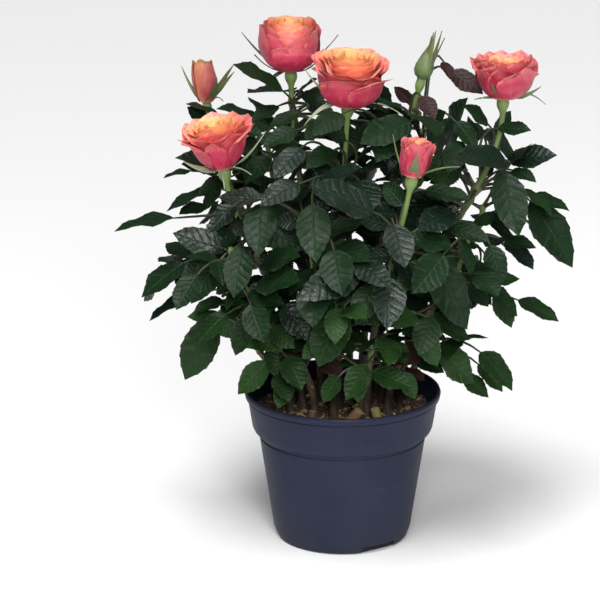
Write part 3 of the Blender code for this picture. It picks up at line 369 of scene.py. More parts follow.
HEADS = {
    "rose_small": Head(0.0192, 0.0365, petals=5, opening=0.06),
    "rose_large": Head(0.0218, 0.0360, petals=5, opening=0.18),
    "rose_middle": Head(0.0200, 0.0320, petals=5, opening=0.24),
    "rose_wide": Head(0.0200, 0.0275, petals=5, opening=0.24),
    "bud_open": Head(0.0106, 0.0240, petals=4, opening=0.10),
    "bud_colour": Head(
        0.0096, 0.0310, profile=BUD_PROFILE, hip_radius=0.0030, sepal=UPRIGHT_SEPAL, sepal_width=0.0022
    ),
    "bud_green": Head(
        0.0062, 0.0240, profile=BUD_PROFILE, hip_radius=0.0030, sepal=PRESSED_SEPAL, sepal_width=0.0022
    ),
}

# Old stumps in the soil: place, radius, height and lean
STUMPS = (
    ("stump_woody", (0.000, -0.040), 0.0036, 0.010, (0.8, -0.2)),
    ("stump_green", (0.024, -0.034), 0.0030, 0.009, (-0.3, -0.1)),
    ("stump_old", (-0.022, -0.038), 0.0026, 0.008, (0.2, 0.1)),
)


# Shapes, each a pair of points and faces


def heading(azimuth, lift):
    """The unit vector that points azimuth degrees round from +X and lift degrees above level."""
    turn, rise = math.radians(azimuth), math.radians(lift)
    return Vector((math.cos(turn) * math.cos(rise), math.sin(turn) * math.cos(rise), math.sin(rise)))


def loft(rings):
    """A closed skin through rings of points. A ring of one point is a tip."""
    points, faces, rows = [], [], []
    for ring in rings:
        rows.append(range(len(points), len(points) + len(ring)))
        points.extend(ring)
    for near, far in zip(rows, rows[1:]):
        count = max(len(near), len(far))
        for i in range(count):
            j = (i + 1) % count
            corners = (near[i % len(near)], near[j % len(near)], far[j % len(far)], far[i % len(far)])
            faces.append(tuple(dict.fromkeys(corners)))
    if len(rows[0]) > 1:
        faces.append(tuple(reversed(rows[0])))
    if len(rows[-1]) > 1:
        faces.append(tuple(rows[-1]))
    return points, faces


def tube(path, radii, sides):
    """A tapering round limb along a path."""
    rings = []
    across = Vector((1.0, 0.0, 0.0))
    for i, centre in enumerate(path):
        ahead = (path[min(i + 1, len(path) - 1)] - path[max(i - 1, 0)]).normalized()
        across = (across - ahead * across.dot(ahead)).normalized()
        up = ahead.cross(across)
        turns = [2 * math.pi * k / sides for k in range(sides)]
        rings.append([centre + (across * math.cos(a) + up * math.sin(a)) * radii[i] for a in turns])
    return loft(rings)


def cane_point(shoot, share):
    """The point a share of the way along a cane, from its foot in the soil to its tip."""
    foot = Vector((*shoot.foot, SOIL_LEVEL + GAP))
    tip = Vector(shoot.tip)
    rise = tip.z - foot.z
    lean = Vector((shoot.tilt[0], shoot.tilt[1], 1.0)).normalized()
    first = foot + Vector((0.0, 0.0, CANE_RISE * rise)) + (tip - foot) * CANE_DRIFT
    last = tip - lean * CANE_LEAN * rise
    a, b = 1 - share, share
    return foot * a**3 + first * 3 * a * a * b + last * 3 * a * b * b + tip * b**3


def cane_path(shoot, start, end, count):
    """So many points along a part of a cane."""
    return [cane_point(shoot, start + (end - start) * i / (count - 1)) for i in range(count)]


def cane_radius(share):
    return CANE_FOOT_RADIUS + (CANE_TIP_RADIUS - CANE_FOOT_RADIUS) * share


# Leaves


@dataclass
class Leaflet:
    """One blade: its base, the ways it points and faces, its size and how far its tip curls down."""

    base: Vector
    ahead: Vector
    face: Vector
    length: float
    width: float
    curl: float
    pair: int  # the pair it belongs to, or the number of pairs for the end leaflet
    side: int  # 1 on the left of the stalk, -1 on the right, 0 at the end

    def point(self, across, along, lift=0.0):
        """The point a share across (-1 to 1 of the half width) and along the blade."""
        half = self.width / 2 * across
        rise = FOLD * abs(half) - self.curl * self.length * along * along + lift
        left = self.face.cross(self.ahead)
        return self.base + self.ahead * self.length * along + left * half + self.face * rise

    def clearance(self):
        """The blade made larger all round, as other leaves must clear it."""
        base = self.base + self.ahead * TWIG_RADIUS
        grown = replace(self, base=base, width=self.width + 2 * CLEAR_OF_BLADE)
        half = LEAFLET_THICKNESS / 2 + CLEAR_OF_BLADE
        rings = [
            [
                grown.point(-across, along),
                grown.point(0, along, half),
                grown.point(across, along),
                grown.point(0, along, -half),
            ]
            for along, across in CLEAR_OUTLINE
        ]
        return loft([[grown.point(0, 0)], *rings, [grown.point(0, 1)]])


def facing(ahead, sunward, roll):
    """The way a blade that points ahead faces: square to it, towards the light, then rolled by degrees."""
    face = (sunward - ahead * sunward.dot(ahead)).normalized()
    turn = math.radians(roll)
    return face * math.cos(turn) + face.cross(ahead) * math.sin(turn)


@dataclass
class Leaf:
    """A compound leaf: the points of its stalk, and its leaflets with the end one last."""

    stalk: list
    leaflets: list

    def stalk_clearance(self):
        """The stalk beyond its root, made thicker all round."""
        path = [self.stalk[0].lerp(self.stalk[1], BARE_ROOT), *self.stalk[1:]]
        return tube(path, [TWIG_RADIUS + CLEAR_OF_LIMB] * len(path), STALK_SIDES_OF_LEAF)


def stray(value, quirk):
    """A value that differs from leaf to leaf, for a quirk from -1 to 1."""
    usual, spread = value
    return usual + spread * quirk


def side_leaflets(stalk, sunward, quirks, size_of):
    """The pairs along a stalk, where size_of gives a blade's length and width for its pair's share."""
    leaflets = []
    for pair, scale in enumerate(PAIR_SIZES):
        ahead = (stalk[pair + 2] - stalk[pair]).normalized()
        face = facing(ahead, sunward, stray(ROLL, quirks[ROLL_AT]))
        angle = math.radians(stray(SIDE_ANGLE, quirks[ANGLE_AT + pair]))
        droop = stray(SIDE_DROOP, quirks[DROOP_AT + pair])
        curl = stray(SIDE_CURL, quirks[CURL_AT + pair])
        length, width = size_of(scale)
        for side in (1, -1):
            aside = ahead * math.cos(angle) + face.cross(ahead) * math.sin(angle) * side
            point = (aside - face * droop).normalized()
            blade_face = facing(point, face + sunward * SIDE_SUNWARD, SIDE_ROLL * side)
            leaflets.append(Leaflet(stalk[pair + 1], point, blade_face, length, width, curl, pair, side))
    return leaflets


def plan_leaf(root, azimuth, lift, size, quirks):
    """A compound leaf that starts off along these headings. Its quirks are numbers from -1 to 1."""
    outward = Vector((root.x, root.y, 0.0)) + heading(azimuth, 0) * HEADING_WEIGHT
    sunward = LIGHT + outward.normalized() * OUTWARD
    swing = stray(SWING, quirks[SWING_AT])
    shares = (0.0, *PAIR_SHARES, 1.0)
    stalk = [root]
    for near, far in zip(shares, shares[1:]):
        fall = LEAF_BEND * (0.5 * (near + far)) ** BEND_POWER
        stretch = LEAF_STALK * size * (far - near)
        stalk.append(stalk[-1] + heading(azimuth + swing * near, lift - fall) * stretch)
    sides = side_leaflets(
        stalk, sunward, quirks, lambda scale: (LEAFLET_LENGTH * scale * size, LEAFLET_WIDTH * scale * size)
    )
    ahead = heading(azimuth + swing, lift - LEAF_BEND * stray(END_BEND, quirks[BEND_AT]))
    face = facing(ahead, sunward, stray(END_ROLL, quirks[END_ROLL_AT]))
    curl = stray(END_CURL, quirks[END_CURL_AT])
    length, width = LEAFLET_LENGTH * size, LEAFLET_WIDTH * size
    return Leaf(stalk, [*sides, Leaflet(stalk[-1], ahead, face, length, width, curl, len(PAIR_SIZES), 0)])


class Room:
    """What already stands in the crown. Each thing is kept as a tree of faces with a ball round it."""

    def __init__(self, box):
        self.things, self.box = [], box

    @staticmethod
    def wrap(shape, owner):
        points, faces = shape
        centre = sum(points, Vector()) / len(points)
        radius = max((p - centre).length for p in points)
        return BVHTree.FromPolygons(points, faces), centre, radius, owner

    def add(self, shape, owner):
        self.things.append(self.wrap(shape, owner))

    def add_leaf(self, leaf, owner):
        self.add(leaf.stalk_clearance(), owner)
        for leaflet in leaf.leaflets:
            self.add(leaflet.clearance(), owner + "_leaf")

    def touches(self, shape, but_not=None):
        tree, centre, radius, _ = self.wrap(shape, None)
        return any(
            owner != but_not and (centre - there).length < radius + reach and tree.overlap(other)
            for other, there, reach, owner in self.things
        )

    def holds(self, leaf):
        """Whether the leaf stays within the plant's own box."""
        low, high = self.box
        spots = ((0, 1), (1, 0.5), (-1, 0.5))
        edges = [leaflet.point(*spot) for leaflet in leaf.leaflets for spot in spots]
        return all(low[i] + BOX_EDGE < point[i] < high[i] - BOX_EDGE for point in edges for i in range(3))

    def clear_sides(self, leaf):
        """The leaflets of a leaf that find room, its end leaflet among them in any case."""
        kept = [leaf.leaflets[-1]]
        for leaflet in leaf.leaflets[:-1]:
            shape = leaflet.clearance()
            tree = BVHTree.FromPolygons(*shape)
            beside = [other.clearance() for other in kept if other.side in (leaflet.side, 0)]
            crossed = any(tree.overlap(BVHTree.FromPolygons(*other)) for other in beside)
            if not crossed and not self.touches(shape):
                kept.insert(-1, leaflet)
        return kept

    def clear_part(self, shoot, leaf):
        """The leaf with the leaflets that find room, or None where its stalk or end leaflet finds none."""
        if self.touches(leaf.stalk_clearance(), shoot.name) or self.touches(leaf.leaflets[-1].clearance()):
            return None
        return replace(leaf, leaflets=self.clear_sides(leaf))


def crown_at(height):
    """How far the crown's body reaches left, right and forwards at a height."""
    height = max(CROWN[0][0], min(CROWN[-1][0], height))
    for low, high in zip(CROWN, CROWN[1:]):
        if low[0] <= height <= high[0]:
            share = (height - low[0]) / (high[0] - low[0])
            return tuple(a + (b - a) * share for a, b in zip(low[1:], high[1:]))


def outside_share(point):
    """How far out in the crown's body a point lies, 1 at its skin, which is drawn in at the sides."""
    left, right, deep = crown_at(point.z)
    wide = right if point.x > 0 else left
    beyond = abs(point.z - max(CROWN[0][0], min(CROWN[-1][0], point.z)))
    return math.hypot(point.x / wide / FILL_WIDTH, point.y / deep) + beyond / CROWN_EDGE


def fill_leaf(room, shoot, share, azimuth, lift, quirks):
    """The leaf within the crown's body that fits best near these headings, or None."""
    root = cane_point(shoot, share)
    outward = Vector((root.x, root.y, 0.0)).normalized()
    best, best_cost = None, NO_COST_YET
    for turn in LEAF_TURNS:
        inward = -outward.dot(heading(azimuth + turn, 0))
        for more in LEAF_LIFTS:
            cost_of_way = abs(turn) * TURN_COST + abs(more) * LIFT_COST + inward * INWARD_COST
            for number, size in enumerate(FILL_SIZES):
                leaf = plan_leaf(root, azimuth + turn, lift + more, size * shoot.scale, quirks)
                over = sum(max(outside_share(leaflet.point(0, 1)) - 1, 0) for leaflet in leaf.leaflets)
                cost = cost_of_way + SMALLER_COST * number + OUTSIDE_COST * over
                if cost >= best_cost:
                    continue
                kept = room.clear_part(shoot, leaf) if room.holds(leaf) else None
                if kept is None or len(kept.leaflets) < LEAST_LEAFLETS:
                    continue
                cost += LOST_COST * (len(leaf.leaflets) - len(kept.leaflets))
                if cost < best_cost:
                    best, best_cost = kept, cost
    return best


def seen(across, down, front):
    """The point that the camera sees there in its picture of 600 by 600, so far out to the crown's front."""
    eye, pitch = Vector(CAMERA_PLACE), math.radians(CAMERA_PITCH)
    zoom = CAMERA_LENS / SENSOR * PICTURE
    way = Vector(((across - PICTURE / 2) / zoom, math.cos(pitch), -math.sin(pitch)))
    way += Vector((0.0, math.sin(pitch), math.cos(pitch))) * (PICTURE / 2 - down) / zoom
    depth = 0.0
    for _ in range(SIGHT_ROUNDS):
        point = eye + way * (depth - eye.y) / way.y
        left, right, deep = crown_at(point.z)
        aside = point.x / (right if point.x > 0 else left)
        depth = -deep * front * math.sqrt(max(EDGE_ROUND, 1 - aside * aside))
    return point


def stalk_ways(base, ahead):
    """The stalks that could carry a blade, from every cane, with the likeliest first."""
    ways = []
    for shoot in SHOOTS:
        for step in range(ROOT_STEPS):
            share = shoot.leafy_from + (shoot.leafy_to - shoot.leafy_from) * step / (ROOT_STEPS - 1)
            root = cane_point(shoot, share - BARE_END / 2)
            away = base - root
            length = away.length
            bend = 1 - away.dot(ahead) / length
            fall = max(0.0, -away.z) / USUAL_STALK
            cost = abs(length - USUAL_STALK) / USUAL_STALK + bend * BEND_COST + fall
            ways.append((cost, len(ways), shoot, root))
    return [(shoot, root) for _, _, shoot, root in sorted(ways, key=lambda way: way[:2])[:ROOT_TRIES]]


def blade_width(length):
    """A long blade is slimmer than a short one."""
    return length * (BLADE_SHAPE - BLADE_SLIMMING * length)


def carried_leaf(root, base, tip, lean, quirks, roll):
    """A leaf from this root whose end leaflet spans these two points, leans to the front and rolls."""
    sunward = Vector((0.0, -lean, 1.0)) + Vector((base.x, base.y, 0.0)).normalized() * OUTWARD * SET_OUTWARD
    end_curl = stray(END_CURL, quirks[END_CURL_AT]) * SET_CURL
    straight = facing((tip - base).normalized(), sunward, 0.0) * end_curl * (tip - base).length + tip - base
    ahead, length = straight.normalized(), straight.length
    middle = base - ahead * (base - root).length * SET_STALK_BEND
    stalk = []
    for share in (0.0, *PAIR_SHARES, 1.0):
        stalk.append(root * (1 - share) ** 2 + middle * 2 * share * (1 - share) + base * share**2)

    def size_of(scale):
        size = min(length, LEAFLET_LENGTH) * scale * SET_SIDES
        return size, blade_width(size)

    sides = side_leaflets(stalk, sunward, quirks, size_of)
    face = facing(ahead, sunward, stray(END_ROLL, quirks[END_ROLL_AT]) * SET_ROLL + roll)
    end = Leaflet(base, ahead, face, length, blade_width(length), end_curl, len(PAIR_SIZES), 0)
    return Leaf(stalk, [*sides, end])


def set_leaf(room, spot, quirks):
    """The leaf seen at this spot and its cane, moved in or out till its stalk and end leaflet find room."""
    base_across, base_down, across, down, front, lean, *roll = spot
    for shift in FRONT_SHIFTS:
        base = seen(base_across, base_down, front - BASE_BEHIND + shift)
        tip = seen(across, down, front + shift)
        for shoot, root in stalk_ways(base, (tip - base).normalized()):
            leaf = carried_leaf(root, base, tip, lean, quirks, sum(roll))
            end = leaf.leaflets[-1:]
            if room.touches(end[0].clearance()) or not room.holds(replace(leaf, leaflets=end)):
                break
            if not room.touches(leaf.stalk_clearance(), shoot.name):
                return shoot, leaf
    return None, None


def grow_crown(box):
    """Every leaf with its shoot and its tone: the listed ones first, then the rest by the seeded rule."""
    room = fill_room(box)
    chance = random.Random(SEED)
    placed, leaves = [], []
    for tone, spots in SET_LEAVES.items():
        for spot in spots:
            quirks = [chance.uniform(-1, 1) for _ in range(QUIRKS)]
            shoot, leaf = set_leaf(room, spot, quirks)
            if leaf:
                room.add(leaf.stalk_clearance(), shoot.name)
                room.add(leaf.leaflets[-1].clearance(), shoot.name + "_leaf")
                placed.append((shoot, leaf, tone))
    for across, down, width in SKY:
        ends = (seen(across, down, SKY_REACH), seen(across, down, -SKY_REACH))
        room.add(tube(ends, [width / PICTURE * PICTURE_WIDTH / 2] * 2, STALK_SIDES), "sky")
    for shoot, leaf, tone in placed:
        kept = room.clear_sides(leaf) if room.holds(leaf) else leaf.leaflets[-1:]
        for leaflet in kept[:-1]:
            room.add(leaflet.clearance(), shoot.name + "_leaf")
        leaves.append((shoot, replace(leaf, leaflets=kept), tone))
    (left, right), (front, back), heights = SOIL_VIEW
    outline = ((left, front), (right, front), (right, back), (left, back))
    corners = [[Vector((x, y, height)) for x, y in outline] for height in heights]
    room.add(loft(corners), "soil view")
    for turn in range(FILL_TURNS):
        for number, shoot in enumerate(SHOOTS):
            quirks = [chance.uniform(-1, 1) for _ in range(QUIRKS)]
            top, bottom = shoot.leafy_to - BARE_END / 2, shoot.leafy_from + BARE_END
            share = top - (top - bottom) * (turn + FILL_STRAY * chance.random()) / FILL_TURNS
            azimuth = LEAF_STEP * turn + SHOOT_STEP * number + stray(ROOT_TURN, quirks[TURN_AT])
            lift = stray(ROOT_LIFT, quirks[LIFT_AT]) - LIFT_LOSS * (1 - share)
            leaf = fill_leaf(room, shoot, share, azimuth, lift, quirks)
            if leaf:
                room.add_leaf(leaf, shoot.name)
                leaves.append((shoot, leaf, dealt_tone(leaf, chance)))
    return leaves


def dealt_tone(leaf, chance):
    """Which green a leaf has: purple-brown on the youngest tips, light and fresh low down, dark above."""
    height, luck = leaf.leaflets[-1].base.z, chance.random()
    if height > YOUNG_HEIGHT and luck < YOUNG_LUCK:
        return "young"
    if height < LOW_HEIGHT:
        return "fresh" if luck < FRESH_LUCK else "mid"
    return "mid" if luck < MID_LUCK else "glossy" if luck < GLOSSY_LUCK else "dark"


# Flowers


def head_frame(shoot):
    """Where a flower head starts, and its axis with the two ways across it."""
    axis = Vector((shoot.tilt[0], shoot.tilt[1], 1.0)).normalized()
    across = (Vector((1.0, 0.0, 0.0)) - axis * axis.x).normalized()
    return Vector(shoot.tip), axis, across, axis.cross(across)


def turned(shoot, start, profile, sides, ripple=0.0):
    """A body turned on the flower's axis from (height, radius) pairs, rippled into folds that wind round."""
    foot, axis, across, other = head_frame(shoot)
    rings = []
    for number, (height, radius) in enumerate(profile):
        ring = []
        for k in range(sides):
            a = 2 * math.pi * k / sides
            swell = radius * (1 + ripple * math.cos(RIPPLE_FOLDS * a + RIPPLE_TURN * number))
            ring.append(foot + axis * (start + height) + (across * math.cos(a) + other * math.sin(a)) * swell)
        rings.append(ring)
    return loft(rings)


def strap(shoot, azimuth, line, widths, thickness):
    """A petal or sepal: a thin solid that follows (out, up) points away from the axis, as wide as given."""
    foot, axis, across, other = head_frame(shoot)
    out = across * math.cos(azimuth) + other * math.sin(azimuth)
    side = axis.cross(out)
    rings = []
    for i, ((away, up), width) in enumerate(zip(line, widths)):
        centre = foot + out * away + axis * up
        if width == 0:
            rings.append([centre])
            continue
        before, after = line[max(i - 1, 0)], line[min(i + 1, len(line) - 1)]
        ahead = (out * (after[0] - before[0]) + axis * (after[1] - before[1])).normalized()
        face = ahead.cross(side)
        hug = out * width * width / max(away, width) * EDGE_HUG
        edges = (centre + side * width - hug, centre - side * width - hug)
        rings.append([edges[0], centre + face * thickness, edges[1], centre - face * thickness])
    return loft(rings)


def guard_petal(shoot, head, number):
    """One of the outer petals, every other one opened further."""
    odd = number % 2
    azimuth = 2 * math.pi * (number + PETAL_SHIFT * odd) / head.petals + PETAL_START
    flare = head.radius * (1.0 + head.opening * (PETAL_FLARE[0] + PETAL_FLARE[1] * odd))
    base = HIP_HEIGHT - PETAL_SINK
    line = (
        (head.radius * PETAL_ROOT[0], base + head.height * PETAL_ROOT[1]),
        (head.radius * PETAL_MIDDLE[0], base + head.height * PETAL_MIDDLE[1]),
        (flare * PETAL_EDGE[0], base + head.height * (PETAL_EDGE[1] - PETAL_DROP * head.opening)),
    )
    widths = [head.radius * PETAL_WIDTH * width for width in PETAL_WIDTHS]
    return strap(shoot, azimuth, line, widths, PETAL_THICKNESS)


def sepal(shoot, head, number):
    """A sepal: pressed to a green bud, upright on a young one, bent down under a rose."""
    base = HIP_HEIGHT - SEPAL_SINK
    if head.sepal is BENT_SEPAL:
        ups = (-SEPAL_DIP, SEPAL_STEP * (number % 3) - SEPAL_FALL)
        outs = head.sepal
    else:
        ups = [head.height * up for _, up in head.sepal]
        outs = [out for out, _ in head.sepal]
    line = ((SEPAL_ROOT, base), *((head.radius * out, base + up) for out, up in zip(outs, ups)))
    azimuth = 2 * math.pi * number / SEPAL_COUNT + SEPAL_START
    return strap(shoot, azimuth, line, (0, head.sepal_width, 0), SEPAL_THICKNESS)


def flower_pieces(shoot):
    """The solids of a flower head: hip, heart, guard petals and sepals."""
    head = HEADS[shoot.flower]
    radius = head.hip_radius
    hip = [(HIP_FOOT, FLOWER_STALK_RADIUS), (HIP_SWELL, radius), (HIP_HEIGHT, radius * HIP_TAPER)]
    heart = [(head.height * up, head.radius * out) for up, out in head.profile]
    return [
        turned(shoot, 0, hip, STALK_SIDES),
        turned(shoot, HIP_HEIGHT - HEART_SINK, heart, HEART_SIDES, HEART_RIPPLE),
        *(guard_petal(shoot, head, number) for number in range(head.petals)),
        *(sepal(shoot, head, number) for number in range(SEPAL_COUNT)),
    ]


def wall_outside():
    """(radius, height) points of the pot's outside, from the edge of its underside up to the lip."""
    return [
        (BASE_RADIUS, 0.0),
        (BASE_RADIUS + FOOT_ROUND[0], FOOT_ROUND[1]),
        (BODY_FOOT_RADIUS, BODY_FOOT),
        (BODY_TOP_RADIUS, BODY_TOP - STEP_START),
        (BODY_TOP_RADIUS + STEP_END[0], BODY_TOP + STEP_END[1]),
        (COLLAR_FOOT_RADIUS - COLLAR_ROUND[0], COLLAR_FOOT - COLLAR_ROUND[1]),
        (COLLAR_FOOT_RADIUS, COLLAR_FOOT),
        (COLLAR_TOP_RADIUS, COLLAR_TOP),
        (LIP_RADIUS - LIP_ROUND, POT_HEIGHT - LIP_START),
        (LIP_RADIUS, POT_HEIGHT - LIP_EDGE),
        (LIP_RADIUS - LIP_ROUND, POT_HEIGHT),
    ]


def wall_inside():
    """(radius, height) points of the pot's inside, from the lip down to the edge of its floor."""
    return [
        (LIP_RADIUS - LIP_WIDTH, POT_HEIGHT),
        (COLLAR_TOP_RADIUS - WALL, COLLAR_TOP),
        (COLLAR_FOOT_RADIUS - WALL, COLLAR_FOOT),
        (BODY_TOP_RADIUS - WALL, BODY_TOP - STEP_START),
        (BASE_RADIUS, FLOOR_THICKNESS),
    ]


def pot_guard():
    """The outside of the pot and the surface of the soil, as leaves must clear them."""
    outline = [(radius + CLEAR_OF_POT, height) for radius, height in wall_outside()]
    outline += [
        (LIP_RADIUS, POT_HEIGHT + CLEAR_OF_SOIL),
        (LIP_RADIUS - LIP_WIDTH - CLEAR_OF_POT, POT_HEIGHT + CLEAR_OF_SOIL),
        (COLLAR_TOP_RADIUS - WALL - CLEAR_OF_POT, SOIL_LEVEL + CLEAR_OF_SOIL),
    ]
    turns = [2 * math.pi * k / POT_SIDES for k in range(POT_SIDES)]
    rings = [[Vector((r * math.cos(a), r * math.sin(a), z)) for a in turns] for r, z in outline]
    return loft(rings)


def fill_room(box):
    """Everything that leaves must clear, before any leaf grows."""
    room = Room(box)
    room.add(pot_guard(), "pot")
    for shoot in SHOOTS:
        path = cane_path(shoot, 0.0, 1.0, GUARD_STEPS + 1)
        radii = [cane_radius(i / GUARD_STEPS) + CLEAR_OF_LIMB for i in range(GUARD_STEPS + 1)]
        for i in range(0, GUARD_STEPS, GUARD_STRETCH):
            ends = slice(i, i + GUARD_STRETCH + 1)
            room.add(tube(path[ends], radii[ends], CANE_SIDES), shoot.name)
        if shoot.flower:
            stalk = cane_path(shoot, shoot.leafy_to, 1.0, STALK_RINGS)
            radii = [FLOWER_STALK_RADIUS + CLEAR_OF_LIMB] * STALK_RINGS
            room.add(tube(stalk, radii, CANE_SIDES), shoot.name + "_flower")
            for points, faces in flower_pieces(shoot):
                middle = sum(points, Vector()) / len(points)
                swollen = [p + (p - middle).normalized() * CLEAR_OF_FLOWER for p in points]
                room.add((swollen, faces), shoot.name + "_flower")
    return room


# Gathering small shapes into pieces


class Patch:
    """Many small shapes gathered into one piece, with a place on the surface pattern for each corner."""

    def __init__(self):
        self.points, self.faces, self.places, self.count = [], [], [], 0

    def add(self, points, faces, places):
        self.faces.extend(tuple(i + self.count for i in face) for face in faces)
        self.points.append(np.asarray(points, float))
        self.places.append(np.asarray(places, float))
        self.count += len(points)

    def piece(self, name, finish, slot, nodes, crease):
        mesh = bpy.data.meshes.new(name)
        mesh.from_pydata(np.concatenate(self.points).tolist(), [], self.faces)
        mesh.materials.append(finish)
        pattern = mesh.uv_layers.new(name="OFBake")
        pattern.data.foreach_set("uv", np.concatenate(self.places).astype(np.float32).ravel())
        thing = bpy.data.objects.new(name, mesh)
        bpy.context.scene.collection.objects.link(thing)
        return settle_piece(thing, nodes, crease)


def settle_piece(thing, nodes, crease):
    """Shades a piece smooth up to a crease of so many degrees, attaches it to the root body and hides the
    nodes it stands for.
    """
    thing.data.shade_smooth()
    thing.data.set_sharp_from_angle(angle=math.radians(crease))
    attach(thing, "root")
    if nodes:
        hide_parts(*nodes)
    return thing


def tube_places(rings, sides):
    """The pattern places of a tube's corners: round it and along it, with its two ends on a small spot."""
    places = []
    for i in range(rings - 1):
        near, far = i / (rings - 1), (i + 1) / (rings - 1)
        for k in range(sides):
            start, end = k / sides, (k + 1) / sides
            places += [(start, near), (end, near), (end, far), (start, far)]
    places += [(0.0, 0.0)] * sides + [(0.0, 1.0)] * sides
    return places


def curve_through(path, steps):
    """A smooth line through a few points, with so many steps between each two."""
    ends = [path[0] * 2 - path[1], *path, path[-1] * 2 - path[-2]]
    line = []
    for a, b, c, d in zip(ends, ends[1:], ends[2:], ends[3:]):
        for step in range(steps):
            t = step / steps
            line.append(
                b + (c - a) * (t / 2) + (a * 2 - b * 5 + c * 4 - d) * (t * t / 2)
                + (b * 3 - a - c * 3 + d) * (t**3 / 2)
            )
    return [*line, path[-1]]


# Finishes


class Web:
    """The nodes of a material, added and joined by short calls."""

    def __init__(self, name, colour, roughness, **sockets):
        self.material = bpy.data.materials.new(name)
        self.material.use_nodes = True
        self.tree = self.material.node_tree
        self.shader = self.tree.nodes["Principled BSDF"]
        self.shader.inputs["Base Color"].default_value = (*colour, 1.0)
        self.shader.inputs["Roughness"].default_value = roughness
        for socket, value in sockets.items():
            self.shader.inputs[socket.replace("_", " ")].default_value = value

    def add(self, kind, inputs=(), **settings):
        node = self.tree.nodes.new("ShaderNode" + kind)
        for setting, value in settings.items():
            setattr(node, setting, value)
        for socket, value in dict(inputs).items():
            if isinstance(value, bpy.types.NodeSocket):
                self.tree.links.new(value, node.inputs[socket])
            else:
                node.inputs[socket].default_value = value
        return node

    def math(self, operation, *values):
        return self.add("Math", dict(enumerate(values)), operation=operation).outputs[0]

    def times(self, first, second):
        return self.math("MULTIPLY", first, second)

    def plus(self, first, second):
        return self.math("ADD", first, second)

    def less(self, first, second):
        return self.math("SUBTRACT", first, second)

    def object_place(self):
        """Where a point lies on the piece itself, in metres."""
        return self.add("TexCoord").outputs["Object"]

    def ramp(self, value, *stops):
        """A colour or a grey that runs through (position, colour or level) stops."""
        node = self.add("ValToRGB", {"Fac": value})
        elements = node.color_ramp.elements
        elements[0].position, elements[1].position = stops[0][0], stops[-1][0]
        for position, _ in stops[1:-1]:
            elements.new(position)
        for stop, (_, shade) in zip(elements, stops):
            stop.color = (shade, shade, shade, 1.0) if isinstance(shade, float) else (*shade, 1.0)
        return node.outputs["Color"]

    def blend(self, share, first, second):
        """A colour between two."""
        node = self.add("MixRGB", {"Fac": share}, blend_type="MIX")
        for socket, value in (("Color1", first), ("Color2", second)):
            if isinstance(value, bpy.types.NodeSocket):
                self.tree.links.new(value, node.inputs[socket])
            else:
                node.inputs[socket].default_value = (*value, 1.0)
        return node.outputs[0]

    def pattern(self):
        """The two coordinates of the piece's own pattern map."""
        places = self.add("UVMap", uv_map="OFBake").outputs[0]
        parts = self.add("SeparateXYZ", {0: places})
        return places, parts.outputs[0], parts.outputs[1]

    def noise(self, vector, scale, detail=3.0, roughness=0.5):
        return self.add(
            "TexNoise", {"Vector": vector, "Scale": scale, "Detail": detail, "Roughness": roughness}
        ).outputs["Fac"]

    def stretched(self, vector, scale):
        return self.add("Mapping", {"Vector": vector, "Scale": scale}).outputs[0]

    def colour(self, value):
        self.tree.links.new(value, self.shader.inputs["Base Color"])

    def gloss(self, value):
        self.tree.links.new(value, self.shader.inputs["Roughness"])

    def relief(self, height, depth, strength=1.0):
        bump = self.add("Bump", {"Height": height, "Distance": depth, "Strength": strength})
        self.tree.links.new(bump.outputs[0], self.shader.inputs["Normal"])


# Blades: a leaflet's own outline, with teeth, and a thin underside


LEAF_ROWS = (
    (0.00, 0.05), (0.07, 0.46), (0.18, 0.78), (0.31, 0.96), (0.45, 1.00), (0.59, 0.92), (0.73, 0.72),
    (0.86, 0.42), (1.00, 0.00),
)  # share of the length, and of the half width
TOOTH_PLACE, TOOTH_REACH = 0.80, 0.07  # along a row, and out past the outline
INNER_EDGE = 0.55
BLADE_THICKNESS = 0.0004
EDGE_FALL, EDGE_WAVE, BLADE_TWIST = 0.16, 0.034, 7.0
WAVE_TURNS, WAVE_POWER = 11.0, 1.5  # how often an edge waves along its length, and how far in it does
TIP_SWAY = 0.05  # of the length that a tip bends to one side
PATTERN_MARGIN = 0.46  # of the pattern's width that half a blade takes
TOP_PLACE, UNDER_PLACE = 0.25, 0.75  # across the pattern, for a blade's top and its underside
PATTERN_FOOT, PATTERN_LENGTH = 0.02, 0.96  # along the pattern


def blade_outline():
    """The points (across, along, below) of a blade, its faces, and which of them are its underside."""
    points, faces, under = [], [], []
    middle, inner, notch, tooth, below = {}, {}, {}, {}, {}

    def point(across, along, beneath=0.0):
        points.append((across, along, beneath))
        return len(points) - 1

    last = len(LEAF_ROWS) - 1
    for row, (along, half) in enumerate(LEAF_ROWS):
        middle[row] = point(0.0, along)
        if row == last:
            break
        below[row] = point(0.0, along, 1.0)
        next_along, next_half = LEAF_ROWS[row + 1]
        for side in (1, -1):
            inner[row, side] = point(side * half * INNER_EDGE, along)
            notch[row, side] = point(side * half, along)
            if row < last - 1:
                reach = half + (next_half - half) * TOOTH_PLACE + TOOTH_REACH
                tooth[row, side] = point(side * reach, along + (next_along - along) * TOOTH_PLACE)

    def face(side, beneath, *corners):
        faces.append(corners if side > 0 else corners[::-1])
        under.append(beneath)

    for side in (1, -1):
        face(side, True, middle[0], inner[0, side], notch[0, side], below[0])
        for row in range(last - 1):
            far = row + 1
            face(side, False, middle[row], middle[far], inner[far, side], inner[row, side])
            face(
                side, False, inner[row, side], inner[far, side], notch[far, side], tooth[row, side],
                notch[row, side],
            )
            face(side, True, below[row], notch[row, side], tooth[row, side], notch[far, side], below[far])
        row = last - 1
        face(side, False, middle[row], middle[last], inner[row, side])
        face(side, False, inner[row, side], middle[last], notch[row, side])
        face(side, True, below[row], notch[row, side], middle[last])
    return np.array(points), faces, under


